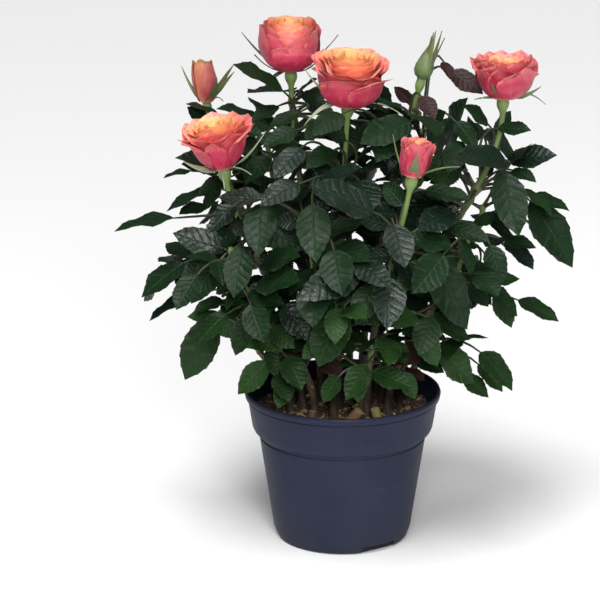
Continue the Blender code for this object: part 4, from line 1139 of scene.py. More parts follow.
def blade_places(points, faces, under):
    """The pattern place of each corner: the top in the pattern's left half, the underside in its right."""
    widest = np.abs(points[:, 0]).max()
    places = []
    for corners, beneath in zip(faces, under):
        for corner in corners:
            across = points[corner, 0] / widest * PATTERN_MARGIN / 2
            side = UNDER_PLACE if beneath else TOP_PLACE
            places.append((across + side, PATTERN_FOOT + PATTERN_LENGTH * points[corner, 1]))
    return np.array(places)


BLADE_POINTS, BLADE_FACES, BLADE_UNDER = blade_outline()
BLADE_PLACES = blade_places(BLADE_POINTS, BLADE_FACES, BLADE_UNDER)


def draw_blade(patch, leaflet, chance):
    """One leaflet, folded along its midrib, with waved, falling edges and a tip bent down and aside."""
    across, along, beneath = BLADE_POINTS.T
    length, half = leaflet.length, leaflet.width / 2
    phase, sway = chance.uniform(0, 2 * math.pi), chance.uniform(-1, 1)
    waved = np.sin(along * WAVE_TURNS + phase + np.sign(across))
    wave = waved * np.abs(across) ** WAVE_POWER * EDGE_WAVE * length
    fold = FOLD * half * (np.abs(across) - EDGE_FALL * np.abs(across) ** 3 * 2)
    fall = leaflet.curl * length * along**2
    twist = math.radians(BLADE_TWIST * sway) * along * across * half
    rise = fold - fall + wave + twist * 2 - beneath * BLADE_THICKNESS
    aside = across * half + sway * TIP_SWAY * length * along**2
    ahead, face = np.array(leaflet.ahead), np.array(leaflet.face)
    left = np.array(leaflet.face.cross(leaflet.ahead))
    points = (
        np.array(leaflet.base)
        + np.outer(along * length, ahead)
        + np.outer(aside, left)
        + np.outer(rise, face)
    )
    patch.add(points, BLADE_FACES, BLADE_PLACES)


# Each green: the blade, its lighter places, its veins and its underside, then roughness, quilting and shine
LEAF_TONES = {
    "dark": (
        (0.0030, 0.0128, 0.0042), (0.0060, 0.0230, 0.0074), (0.018, 0.042, 0.015), (0.017, 0.031, 0.014),
        0.36, 0.40, 0.14,
    ),
    "glossy": (
        (0.0018, 0.0085, 0.0042), (0.0040, 0.0155, 0.0080), (0.016, 0.034, 0.020), (0.016, 0.028, 0.015),
        0.30, 0.48, 0.30,
    ),
    "mid": (
        (0.0050, 0.0190, 0.0048), (0.0098, 0.0340, 0.0080), (0.026, 0.052, 0.018), (0.024, 0.042, 0.017),
        0.36, 0.40, 0.14,
    ),
    "fresh": (
        (0.0085, 0.0320, 0.0070), (0.0170, 0.0540, 0.0120), (0.046, 0.088, 0.028), (0.045, 0.072, 0.032),
        0.42, 0.42, 0.14,
    ),
    "young": (
        (0.0170, 0.0065, 0.0075), (0.032, 0.013, 0.014), (0.060, 0.034, 0.027), (0.050, 0.032, 0.030),
        0.36, 0.40, 0.14,
    ),
}


def leaf_finish(name, blade, light, vein, underside, roughness, quilting, shine):
    """A leaf: quilted between side veins that run forward to the edge, darker in places, and dull below."""
    web = Web(name, blade, roughness, Specular_IOR_Level=shine)
    places, u, v = web.pattern()
    is_under = web.math("GREATER_THAN", u, 0.5)
    local = web.math("FRACT", web.times(u, 2.0))
    aside = web.math("DIVIDE", web.math("ABSOLUTE", web.less(local, 0.5)), PATTERN_MARGIN)
    other_half = web.times(web.math("GREATER_THAN", local, 0.5), 0.5)
    wander = web.times(web.less(web.noise(places, 7.0), 0.5), 0.11)
    slant = web.plus(web.less(v, web.times(aside, 0.22)), wander)
    course = web.math("FRACT", web.plus(web.times(slant, 7.0), other_half))
    from_vein = web.times(web.math("ABSOLUTE", web.less(course, 0.5)), 2.0)
    side_vein = web.ramp(from_vein, (0.0, 0.0), (0.86, 0.0), (0.98, 1.0))
    midrib = web.ramp(aside, (0.0, 1.0), (0.035, 0.7), (0.075, 0.0))
    faded = web.times(side_vein, web.less(1.0, web.math("POWER", aside, 3.0)))
    veins = web.math("MAXIMUM", midrib, web.times(faded, 0.75))
    net_place = web.stretched(places, (30.0, 26.0, 1.0))
    net = web.add("TexVoronoi", {"Vector": net_place, "Scale": 1.0}, feature="DISTANCE_TO_EDGE")
    cells = web.ramp(net.outputs["Distance"], (0.0, 0.0), (0.30, 1.0))
    blotches = web.ramp(web.noise(places, 5.0), (0.35, 0.0), (0.70, 1.0))
    plain = web.blend(blotches, blade, light)
    netted = web.blend(web.times(web.less(1.0, cells), 0.25), plain, vein)
    veined = web.blend(web.times(veins, 0.24), netted, vein)
    web.colour(web.blend(is_under, veined, web.blend(web.times(veins, 0.6), underside, vein)))
    puff = web.less(1.0, web.math("POWER", from_vein, 2.0))
    quilt = web.plus(web.times(puff, 0.75), web.times(cells, 0.18))
    swell = web.times(web.noise(places, 4.0), 1.6)
    hills = web.plus(web.times(quilt, 0.50), swell)
    web.relief(web.less(hills, web.times(veins, 0.5)), 0.0011, quilting)
    dull = web.times(is_under, 0.22)
    patchy = web.ramp(web.noise(places, 9.0), (0.3, roughness - 0.07), (0.7, roughness + 0.07))
    web.gloss(web.plus(patchy, dull))
    return web.material


# Leaf stalks


LEAF_STALK_SIDES = 5
LEAF_STALK_STEPS = 3
LEAF_STALK_RADII = (0.00115, 0.00060)  # at its root and at its end
LEAF_STALK_FOOT = 1.5  # how much wider it is where it leaves the cane


def draw_leaf_stalk(patch, leaf):
    """A leaf's stalk, widest where it leaves the cane."""
    line = curve_through(leaf.stalk, LEAF_STALK_STEPS)
    rings = len(line)
    root, end = LEAF_STALK_RADII
    radii = [root + (end - root) * i / (rings - 1) for i in range(rings)]
    radii[0] *= LEAF_STALK_FOOT
    points, faces = tube(line, radii, LEAF_STALK_SIDES)
    patch.add(points, faces, tube_places(rings, LEAF_STALK_SIDES))


def stalk_finish():
    """Dull green, browner near the cane, with fine streaks."""
    web = Web("leaf_stalk_green", (0.060, 0.085, 0.025), 0.42)
    places, _, v = web.pattern()
    streaks = web.noise(web.stretched(places, (14.0, 3.0, 1.0)), 1.0)
    young = web.blend(web.ramp(v, (0.0, 0.0), (1.0, 1.0)), (0.045, 0.030, 0.016), (0.020, 0.040, 0.014))
    web.colour(web.blend(web.ramp(streaks, (0.35, 0.0), (0.7, 0.6)), young, (0.050, 0.062, 0.026)))
    web.relief(streaks, 0.0003, 0.5)
    return web.material


# Canes with bark


BARK_SIDES, BARK_RINGS = 12, 72
BARK_DEPTH = 0.07
JOINT_SWELL, JOINT_LENGTH = 0.22, 0.012
STALK_SWELL = 1.22  # just under a bloom
STALK_SLIMMING = 0.80  # of a flower stalk against the solid one
SWELL_LENGTH = 0.03  # share of a cane over which its foot and its end taper
CANE_SEAT = GAP * 8  # how far a cane goes down into the soil
RIDGES_ROUND, RIDGES_ALONG, RIDGES_APART = 1.6, 0.30, 7.0  # round, along and between canes
PRICKLES, PRICKLE_LENGTH, PRICKLE_WIDTH, PRICKLE_SIDES = 9, 0.0032, 0.0011, 5
PRICKLE_FOOT, PRICKLE_SPAN = 0.05, 0.75  # the part of a cane with prickles, as shares of it
PRICKLE_STRAY = 0.8  # of the space between two
PRICKLE_SINK = 0.8  # of the cane's radius at which a prickle starts
PRICKLE_SIZES, PRICKLE_AHEAD = (0.6, 1.1), 0.02  # the share further on that gives the cane's way there
NAME_NUMBERS = 97
PRICKLE_HOOK = ((0.0, 0.0, 1.0), (0.55, 0.10, 0.5), (1.0, 0.45, 0.06))  # out, down and how wide


def draw_cane(patch, shoot, roots):
    """A cane with ridged bark, thickened where leaves grow from it and under its bloom."""
    path = cane_path(shoot, 0.0, 1.0, BARK_RINGS)
    radii = []
    for i in range(BARK_RINGS):
        share = i / (BARK_RINGS - 1)
        radius = cane_radius(share) if share < shoot.leafy_to else FLOWER_STALK_RADIUS * STALK_SLIMMING
        radius *= 1 + (CANE_SWELL - 1) * math.exp(-share / SWELL_LENGTH)
        radius *= 1 + JOINT_SWELL * sum(math.exp(-(((share - root) / JOINT_LENGTH) ** 2)) for root in roots)
        if shoot.flower:
            radius *= 1 + (STALK_SWELL - 1) * math.exp((share - 1) / SWELL_LENGTH)
        radii.append(radius)
    path[0].z -= CANE_SEAT
    points, faces = tube(path, radii, BARK_SIDES)
    for i, point in enumerate(points):
        ring, turn = divmod(i, BARK_SIDES)
        around = 2 * math.pi * turn / BARK_SIDES
        height = ring * RIDGES_ALONG + RIDGES_APART * hash_of(shoot.name)
        seat = Vector((math.cos(around) * RIDGES_ROUND, math.sin(around) * RIDGES_ROUND, height))
        centre = path[ring]
        points[i] = centre + (point - centre) * (1 + BARK_DEPTH * noise.noise(seat))
    patch.add(points, faces, tube_places(BARK_RINGS, BARK_SIDES))


def hash_of(name):
    """A number from 0 to 1 that stays the same for a name."""
    whole = sum(ord(letter) * (place + 1) for place, letter in enumerate(name))
    return whole % NAME_NUMBERS / NAME_NUMBERS


def draw_prickles(patch, shoot, chance):
    """Small thorns down the bare part of a cane, hooked a little downwards."""
    for number in range(PRICKLES):
        share = PRICKLE_FOOT + PRICKLE_SPAN * (number + chance.random() * PRICKLE_STRAY) / PRICKLES
        centre = cane_point(shoot, share)
        ahead = cane_point(shoot, share + PRICKLE_AHEAD) - centre
        ahead.normalize()
        out = heading(chance.uniform(0, 360), 0)
        out = (out - ahead * out.dot(ahead)).normalized()
        root = centre + out * cane_radius(share) * PRICKLE_SINK
        length = PRICKLE_LENGTH * chance.uniform(*PRICKLE_SIZES)
        line = [root + out * length * away - ahead * length * down for away, down, _ in PRICKLE_HOOK]
        points, faces = tube(line, [PRICKLE_WIDTH * width for *_, width in PRICKLE_HOOK], PRICKLE_SIDES)
        patch.add(points, faces, tube_places(len(line), PRICKLE_SIDES))


def bark_finish():
    """Brown, ridged bark low down that turns to smooth green towards the flowers, with pale specks."""
    web = Web("cane_bark", (0.16, 0.17, 0.06), 0.52)
    places, _, v = web.pattern()
    along = web.ramp(
        v, (0.0, (0.035, 0.022, 0.015)), (0.14, (0.042, 0.032, 0.018)), (0.45, (0.046, 0.054, 0.022)),
        (0.70, (0.080, 0.115, 0.034)), (0.86, (0.140, 0.215, 0.056)), (1.0, (0.150, 0.230, 0.060)),
    )
    ridges = web.noise(web.stretched(places, (9.0, 26.0, 1.0)), 1.0, 5.0, 0.6)
    specks = web.ramp(web.noise(web.stretched(places, (30.0, 110.0, 1.0)), 1.0), (0.60, 0.0), (0.68, 1.0))
    worn = web.times(web.ramp(ridges, (0.42, 0.0), (0.66, 1.0)), web.ramp(v, (0.1, 0.7), (0.7, 0.25)))
    streaked = web.blend(web.times(worn, 0.6), along, (0.130, 0.100, 0.055))
    web.colour(web.blend(web.times(specks, 0.4), streaked, (0.20, 0.18, 0.11)))
    web.relief(web.plus(ridges, web.times(specks, 0.4)), 0.0006, 0.8)
    web.gloss(web.ramp(ridges, (0.3, 0.42), (0.7, 0.66)))
    return web.material


def prickle_finish():
    """Red-brown, greener at the foot and darker at the point."""
    web = Web("prickle_red", (0.22, 0.09, 0.05), 0.45)
    places, _, v = web.pattern()
    web.colour(web.ramp(v, (0.0, (0.16, 0.14, 0.05)), (0.4, (0.26, 0.10, 0.05)), (1.0, (0.12, 0.05, 0.03))))
    web.relief(web.noise(places, 12.0), 0.0002, 0.4)
    return web.material


# Blooms


PETAL_ROWS, PETAL_COLUMNS = 6, 6
GOLDEN_ANGLE = math.radians(137.508)
PETAL_SHEET = 0.00035
PETAL_LIFT, BLOOM_SINK = 0.0005, 0.0015  # of a petal's foot, and of the whole bloom into its hip
REACH_FIRST, REACH_MORE, REACH_POWER = 0.12, 0.86, 0.72  # from the heart out, as shares of the bloom's radius
CLOSE_FROM, CLOSE_SPAN = 0.45, 0.30  # shares of a petal's height, as below
FLARE_FROM, FLARE_SPAN, FLARE_POWER = 0.55, 0.20, 1.5
ROLL_FROM, ROLL_SPAN = 0.80, 0.20
LIP_FIRST, LIP_MORE, LIP_STRAY, LIP_FALL = 0.35, 0.65, 1.2, 0.7
EDGE_FLARE, EDGE_DROP = 0.05, 0.22  # of a petal's side edges
RUFFLES, RUFFLE_RISES, RUFFLE_RISE, RUFFLE_SHIFT = 4.2, 5.0, 0.6, 7
EYE_SPAN = 0.7  # share of the petals over which they rise to the full height
OUTER_FROM, OUTER_SPAN, OUTER_DROP = 0.8, 0.2, 0.10  # the outermost petals stand a little lower
POINT_NARROWING, POINT_POWER = 2.2, 6
HALF_TURN_MOST, HALF_TURN_FIRST, HALF_TURN_MORE = 2.1, 0.60, 0.30
FOOT_WIDTH, FOOT_SPAN = 0.50, 0.60
TIP_FROM, TIP_SPAN, TIP_ROUND, TIP_LEAST = 0.6, 0.4, 0.45, 0.05
TONE_STRAY, TURN_STRAY = 0.10, 0.12  # how far petals stray to either side of their tone and their place
REACH_STRAY, FLARE_STRAY, TOP_STRAY = (0.96, 1.04), (0.6, 1.3), (0.96, 1.02)  # least and most
OUTER_STRAY, DIP_STRAY, RUFFLE_STRAY = (0.4, 1.4), (0.70, 1.15), (0, 6.3)
# Across the pattern: where the tones start and their width, then the first tone, their range and a shift
TONE_START, TONE_WIDTH, TONE_FIRST, TONE_RANGE, TONE_ACROSS = 0.03, 0.44, 0.06, 0.88, 0.06
OUTER_PLACE = 0.5  # across the pattern, for the outer faces


@dataclass
class Bloom:
    """How a flower's petals stand: how many, how wide and tall, and how they close, open, roll and ruffle."""

    petals: int
    radius: float
    height: float
    flare: float = 0.0  # how far the outer petals open
    closing: float = 0.0  # how far all of them close at the top
    lip: float = 0.0018  # how far their edges roll out
    point: float = 0.0  # how pointed they are
    eye: float = 0.84  # height of the innermost against the others
    ruffle: float = 0.03
    turn: float = 0.0  # where the first one stands
    blush: float = 0.0  # how much nearer their tone is to the outermost, or to the heart
    root: float = 0.34  # how wide the cup starts
    bulge: float = 2.6  # how soon it widens
    dip: float = 0.0  # how much lower the petals stand in front


BLOOMS = {
    "top": Bloom(
        44, 0.0212, 0.0344, closing=0.16, lip=0.0016, eye=1.00, turn=0.6, dip=0.36, root=0.42, bulge=3.0
    ),
    "centre": Bloom(
        48, 0.0214, 0.0345, flare=0.03, lip=0.0028, eye=1.00, turn=1.9, ruffle=0.05, dip=0.32, root=0.52,
        bulge=3.4, blush=-0.08
    ),
    "left": Bloom(
        40, 0.0182, 0.0312, flare=0.24, lip=0.0022, point=0.10, eye=1.00, turn=0.3, dip=0.10, root=0.32,
        bulge=2.2, blush=-0.10
    ),
    "right": Bloom(
        42, 0.0190, 0.0262, flare=0.10, lip=0.0018, point=0.14, eye=0.93, turn=1.1, blush=0.22, root=0.46
    ),
    "front": Bloom(18, 0.0104, 0.0238, lip=0.0010, eye=0.96, ruffle=0.09, blush=0.40, root=0.70, bulge=3.0),
    "upper_left": Bloom(
        12, 0.0094, 0.0274, closing=0.22, lip=0.0005, eye=0.97, ruffle=0.02, blush=-0.34, root=0.60
    ),
}

# The sepals of each flower: tip beside the top of the hip, width, and how far the middle is lifted
SEPALS = {
    "top": (
        ((-0.032, 0.006, 0.023), 0.0022, -0.006), ((0.031, 0.008, 0.021), 0.0022, -0.006),
        ((-0.0235, -0.008, 0.011), 0.0074, -0.006), ((0.0175, -0.016, 0.009), 0.0074, -0.005),
        ((-0.0185, -0.006, -0.0135), 0.0030, 0.004),
    ),
    "centre": (
        ((-0.028, -0.008, -0.013), 0.0036, 0.009), ((0.002, -0.011, 0.003), 0.0042, -0.001),
        ((0.035, -0.004, -0.0075), 0.0022, 0.008), ((-0.028, 0.008, 0.0205), 0.0020, -0.006),
        ((0.014, 0.015, 0.004), 0.0034, 0.002),
    ),
    "left": (
        ((-0.025, -0.008, 0.0055), 0.0050, -0.004), ((0.001, -0.010, -0.0125), 0.0020, 0.003),
        ((0.027, -0.004, 0.024), 0.0024, -0.008), ((0.004, 0.018, -0.002), 0.0036, 0.002),
        ((0.018, -0.009, -0.003), 0.0030, 0.003),
    ),
    "right": (
        ((-0.0090, -0.0165, 0.0120), 0.0080, -0.005), ((0.0235, -0.008, 0.008), 0.0050, -0.004),
        ((0.0275, 0.002, -0.006), 0.0018, 0.009), ((-0.019, -0.006, -0.001), 0.0018, 0.001),
        ((0.004, 0.016, 0.004), 0.0036, 0.000),
    ),
    "upper_left": (
        ((-0.016, 0.002, 0.022), 0.0028, -0.004), ((0.0185, -0.002, 0.0245), 0.0046, 0.003),
        ((0.0185, -0.006, 0.020), 0.0042, 0.002), ((0.011, -0.004, 0.000), 0.0016, 0.005),
        ((0.0075, -0.0105, 0.0165), 0.0090, -0.002),
    ),
    "front": (
        ((0.0020, -0.0150, 0.0170), 0.0085, -0.004), ((-0.0125, -0.004, 0.026), 0.0018, -0.006),
        ((0.029, -0.006, 0.006), 0.0018, 0.004), ((-0.004, 0.011, 0.014), 0.0036, -0.002),
        ((0.011, 0.007, 0.012), 0.0032, -0.003),
    ),
    "upper_right": (
        ((0.0085, -0.003, 0.031), 0.0060, 0.000), ((0.0125, 0.001, 0.030), 0.0056, 0.001),
        ((0.0145, 0.004, 0.025), 0.0056, 0.002), ((0.0075, 0.006, 0.028), 0.0056, 0.000),
        ((0.0060, -0.001, 0.027), 0.0056, -0.001),
    ),
}
SEPAL_STEPS = 10
SEPAL_SHEET = 0.0004
SEPAL_TWIST = 55.0
SEPAL_SEAT = ((0.85, 0.0012), 0.9, 0.42)  # of the hip's radius and down, for the root; then for the middle
SEPAL_FOOT, SEPAL_MORE, SEPAL_RATE = 0.70, 0.30, 6  # width at its foot, what it gains, and how soon
SEPAL_TAPER, SEPAL_THREAD, TWIST_RATE = 1.6, 0.00022, 2.5
SIDE_LEAST = 0.05  # below which a sepal runs too straight out to tell its own sideways
BROAD_SEPAL = 0.0065  # from this width on a sepal lies flat on the petals, without a twist


def petal_sheet():
    """The (across, along, outside) points of a petal with two sheets that share their rim, and its faces."""
    points, faces, outside = [], [], []
    front, back = {}, {}
    for row in range(PETAL_ROWS + 1):
        for column in range(PETAL_COLUMNS + 1):
            across, along = 2 * column / PETAL_COLUMNS - 1, row / PETAL_ROWS
            front[row, column] = len(points)
            points.append((across, along, 0.0))
            rim = row in (0, PETAL_ROWS) or column in (0, PETAL_COLUMNS)
            back[row, column] = front[row, column] if rim else len(points)
            if not rim:
                points.append((across, along, 1.0))
    for row in range(PETAL_ROWS):
        for column in range(PETAL_COLUMNS):
            corners = ((row, column), (row, column + 1), (row + 1, column + 1), (row + 1, column))
            faces.append(tuple(front[corner] for corner in reversed(corners)))
            outside.append(False)
            faces.append(tuple(back[corner] for corner in corners))
            outside.append(True)
    return np.array(points), faces, outside


SHEET_POINTS, SHEET_FACES, SHEET_OUTSIDE = petal_sheet()


def draw_petal(patch, frame, bloom, share, turn, chance):
    """One petal, from the heart at share 0 to the outermost at share 1."""
    foot, axis, across_way, other_way = (np.array(way) for way in frame)
    across, along, outer = SHEET_POINTS.T
    reach = bloom.radius * (REACH_FIRST + REACH_MORE * share**REACH_POWER) * chance.uniform(*REACH_STRAY)
    bulge = bloom.bulge + share
    radius = reach * (bloom.root + (1 - bloom.root) * (1 - (1 - along) ** bulge))
    radius -= reach * bloom.closing * np.maximum(along - CLOSE_FROM, 0) ** 2 / CLOSE_SPAN
    opened = bloom.flare * share**FLARE_POWER * chance.uniform(*FLARE_STRAY)
    radius += bloom.radius * opened * np.maximum(along - FLARE_FROM, 0) ** 2 / FLARE_SPAN
    roll = np.maximum(along - ROLL_FROM, 0) / ROLL_SPAN
    lip = bloom.lip * (LIP_FIRST + LIP_MORE * share) * (1 + LIP_STRAY * share * chance.random())
    radius += lip * roll**2
    edges = np.abs(across)
    radius += bloom.radius * EDGE_FLARE * share * edges**3 * along
    ruffle = np.sin(across * RUFFLES + chance.uniform(*RUFFLE_STRAY)) * along**3
    radius += bloom.radius * bloom.ruffle * ruffle
    rise = bloom.eye + (1 - bloom.eye) * math.sin(math.pi / 2 * min(1.0, share / EYE_SPAN))
    top = bloom.height * rise * chance.uniform(*TOP_STRAY)
    if share > OUTER_FROM:
        top *= 1 - OUTER_DROP * (share - OUTER_FROM) / OUTER_SPAN * chance.uniform(*OUTER_STRAY)
    top *= 1 - bloom.dip * share * max(0.0, -math.sin(turn)) * chance.uniform(*DIP_STRAY)
    height = top * along * (1 - EDGE_DROP * edges**3)
    height += top * bloom.point * share * np.maximum(1 - POINT_NARROWING * edges, 0) * along**POINT_POWER
    height -= lip * LIP_FALL * roll**2 * (1 - edges**2)
    waves = np.cos(across * RUFFLE_RISES + turn * RUFFLE_SHIFT)
    height += bloom.radius * bloom.ruffle * RUFFLE_RISE * waves * along**4
    half_turn = min(HALF_TURN_MOST, (HALF_TURN_FIRST + HALF_TURN_MORE * share) * bloom.radius / reach)
    narrowing = FOOT_WIDTH + (1 - FOOT_WIDTH) * np.sin(math.pi / 2 * np.minimum(1.0, along / FOOT_SPAN))
    rounded = 1 - TIP_ROUND * (np.maximum(along - TIP_FROM, 0) / TIP_SPAN) ** 2
    narrowing *= np.sqrt(np.maximum(rounded, TIP_LEAST))
    angle = turn + across * half_turn * narrowing
    radius = radius + outer * PETAL_SHEET
    points = (
        foot
        + np.outer(height + PETAL_LIFT, axis)
        + np.outer(radius * np.cos(angle), across_way)
        + np.outer(radius * np.sin(angle), other_way)
    )
    tone = min(1.0, max(0.0, share + bloom.blush + chance.uniform(-TONE_STRAY, TONE_STRAY)))
    places = []
    for corners, outside in zip(SHEET_FACES, SHEET_OUTSIDE):
        for corner in corners:
            shift = TONE_FIRST + TONE_RANGE * tone + TONE_ACROSS * SHEET_POINTS[corner, 0]
            across_place = TONE_START + TONE_WIDTH * shift + (OUTER_PLACE if outside else 0.0)
            places.append((across_place, PATTERN_FOOT + PATTERN_LENGTH * SHEET_POINTS[corner, 1]))
    patch.add(points, SHEET_FACES, places)


def draw_bloom(patch, shoot, bloom, chance):
    """The petals of a flower, wound out from the heart at the golden angle."""
    foot, axis, across, other = head_frame(shoot)
    seat = foot + axis * (HIP_HEIGHT - BLOOM_SINK)
    for number in range(bloom.petals):
        share = (number + 0.5) / bloom.petals
        turn = bloom.turn + GOLDEN_ANGLE * number + chance.uniform(-TURN_STRAY, TURN_STRAY)
        draw_petal(patch, (seat, axis, across, other), bloom, share, turn, chance)


def petal_finish(name, dusk):
    """Petals: apricot at the heart, salmon further out, and hot pink to crimson on their outer faces."""
    web = Web(name, (0.80, 0.14, 0.13), 0.50, Subsurface_Weight=0.04, Subsurface_Scale=0.003)
    web.shader.inputs["Subsurface Radius"].default_value = (1.0, 0.35, 0.2)
    web.shader.inputs["Sheen Weight"].default_value = 0.04
    places, u, v = web.pattern()
    is_outer = web.math("GREATER_THAN", u, 0.5)
    tone = web.math("DIVIDE", web.math("FRACT", web.times(u, 2.0)), 0.94)
    inside = web.ramp(
        tone, (0.05, (0.98, 0.33, 0.06)), (0.35, (0.95, 0.29, 0.08)), (0.60, (0.84, 0.15, 0.08)),
        (0.85, (0.64, 0.06, 0.07)), (1.0, (0.46, 0.03, 0.06)),
    )
    inside_rim = web.ramp(
        tone, (0.0, (1.00, 0.58, 0.20)), (0.45, (1.00, 0.50, 0.24)), (0.75, (0.92, 0.30, 0.23)),
        (1.0, (0.78, 0.20, 0.22)),
    )
    inner = web.blend(web.ramp(v, (0.60, 0.0), (0.97, 1.0)), inside, inside_rim)
    outside = web.ramp(
        tone, (0.0, (1.00, 0.30, 0.07)), (0.40, (0.88, 0.14, 0.08)), (0.65, (0.60, 0.028, 0.085)),
        (1.0, (0.40, 0.009, 0.050)),
    )
    outside_rim = web.ramp(
        tone, (0.0, (1.00, 0.48, 0.20)), (0.5, (0.90, 0.33, 0.21)), (0.75, (0.78, 0.20, 0.19)),
        (1.0, (0.56, 0.065, 0.11)),
    )
    cloud = web.times(web.less(web.noise(places, 3.0), 0.5), 0.9)
    outer = web.blend(web.ramp(web.plus(v, cloud), (0.50, 0.0), (0.98, 0.95)), outside, outside_rim)
    outer = web.blend(web.ramp(v, (0.0, 0.75), (0.10, 0.0)), outer, (0.72, 0.46, 0.26))
    streaks = web.noise(web.stretched(places, (120.0, 4.0, 1.0)), 1.0, 4.0)
    both = web.blend(is_outer, inner, outer)
    streaked = web.blend(web.ramp(streaks, (0.45, 0.0), (0.75, 0.16)), both, (1.0, 0.50, 0.40))
    web.colour(web.blend(web.ramp(streaks, (0.30, dusk), (0.75, dusk * 0.7)), streaked, (0.10, 0.045, 0.025)))
    web.relief(streaks, 0.0003, 0.35)
    web.gloss(web.ramp(streaks, (0.3, 0.42), (0.7, 0.56)))
    return web.material


def draw_sepal(patch, shoot, tip, width, lift):
    """A sepal: a folded strip that narrows to a thread, from the top of the hip out to its tip."""
    foot, axis, across, other = head_frame(shoot)
    seat = foot + axis * HIP_HEIGHT
    away = Vector(tip)
    out = (away - axis * away.dot(axis)).normalized()
    head = HEADS[shoot.flower]
    (root_out, root_down), middle_out, middle_along = SEPAL_SEAT
    root = seat + out * head.hip_radius * root_out - axis * root_down
    middle = seat + out * head.hip_radius * middle_out + away * middle_along + Vector((0.0, 0.0, lift))
    end = seat + away
    path = []
    for step in range(SEPAL_STEPS + 1):
        t = step / SEPAL_STEPS
        path.append(root * (1 - t) ** 2 + middle * 2 * t * (1 - t) + end * t * t)
    rings = []
    for i, centre in enumerate(path):
        t = i / SEPAL_STEPS
        ahead = (path[min(i + 1, SEPAL_STEPS)] - path[max(i - 1, 0)]).normalized()
        side = ahead.cross(out)
        side = side.normalized() if side.length > SIDE_LEAST else axis.cross(out)
        face = side.cross(ahead).normalized()
        turn = math.radians(SEPAL_TWIST if width < BROAD_SEPAL else 0.0) * min(1.0, t * TWIST_RATE)
        edge = side * math.cos(turn) + face * math.sin(turn)
        face = face * math.cos(turn) - side * math.sin(turn)
        share = SEPAL_FOOT + SEPAL_MORE * min(1.0, t * SEPAL_RATE)
        edge *= width / 2 * share * (1 - t**SEPAL_TAPER) + SEPAL_THREAD
        face *= SEPAL_SHEET
        rings.append([centre + face, centre + edge, centre - face, centre - edge])
    points, faces = loft(rings)
    patch.add(points, faces, tube_places(len(rings), len(rings[0])))


HIP_FULLNESS = {"upper_left": 1.5, "front": 1.15}
# Height, and radius against the hip's own
HIP_SHAPE = (
    (0.0006, 0.66), (0.0030, 0.96), (0.0055, 1.05), (0.0080, 0.94), (HIP_HEIGHT, 1.02),
    (HIP_HEIGHT + 0.0012, 0.7),
)
HIP_ROOT = (-0.0020, 0.82)  # below the tip of its stalk, and against the stalk's radius
HIP_TURN_SIDES, BUD_TURN_SIDES = 16, 25
BUD_SHAPE = (
    (0.000, 0.45), (0.08, 0.80), (0.20, 0.98), (0.34, 1.00), (0.50, 0.84), (0.66, 0.58), (0.82, 0.34),
    (0.95, 0.16), (1.06, 0.06),
)
BUD_STRETCH, BUD_SINK, BUD_RIBS = 0.98, 0.0010, 0.05


def draw_hip(patch, shoot):
    """The swollen top of a flower stalk, a rounded funnel."""
    radius = HEADS[shoot.flower].hip_radius * HIP_FULLNESS.get(shoot.flower, 1.0)
    root, root_width = HIP_ROOT
    profile = [(root, FLOWER_STALK_RADIUS * root_width), *((up, radius * out) for up, out in HIP_SHAPE)]
    points, faces = turned(shoot, 0, profile, HIP_TURN_SIDES)
    patch.add(points, faces, tube_places(len(profile), HIP_TURN_SIDES))


def draw_green_bud(patch, shoot):
    """A closed bud: a pear shape with five soft ribs where its sepals meet."""
    head = HEADS[shoot.flower]
    rings = [(HIP_HEIGHT + head.height * BUD_STRETCH * up, head.radius * out) for up, out in BUD_SHAPE]
    points, faces = turned(shoot, -BUD_SINK, rings, BUD_TURN_SIDES, BUD_RIBS)
    patch.add(points, faces, tube_places(len(rings), BUD_TURN_SIDES))


# Each green of hips and sepals: near the stalk, towards the tip, and mottled through both
CALYX_TONES = {
    "sepal_dark": ((0.040, 0.060, 0.025), (0.055, 0.050, 0.030), (0.10, 0.12, 0.06)),
    "sepal_pale": ((0.22, 0.30, 0.16), (0.30, 0.33, 0.20), (0.50, 0.52, 0.38)),
    "sepal_light": ((0.100, 0.158, 0.050), (0.142, 0.133, 0.067), (0.22, 0.27, 0.12)),
    "hip_green": ((0.16, 0.25, 0.07), (0.15, 0.22, 0.07), (0.24, 0.32, 0.12)),
}


def calyx_finish(name):
    """The mottled green of sepals and hips."""
    base, tip, thread = CALYX_TONES[name]
    web = Web(name, base, 0.50)
    places, _, v = web.pattern()
    along = web.blend(web.ramp(v, (0.25, 0.0), (0.95, 1.0)), base, tip)
    mottled = web.noise(web.stretched(places, (6.0, 9.0, 1.0)), 1.0)
    web.colour(web.blend(web.ramp(mottled, (0.45, 0.0), (0.75, 0.45)), along, thread))
    web.relief(mottled, 0.0003, 0.5)
    return web.material


# The pot and its soil


POT_TURN_SIDES, SOIL_TURN_SIDES = 120, 72
POT_EDGE = 0.0005
GROOVE = 0.0006  # depth of the lines under the collar and under the lip
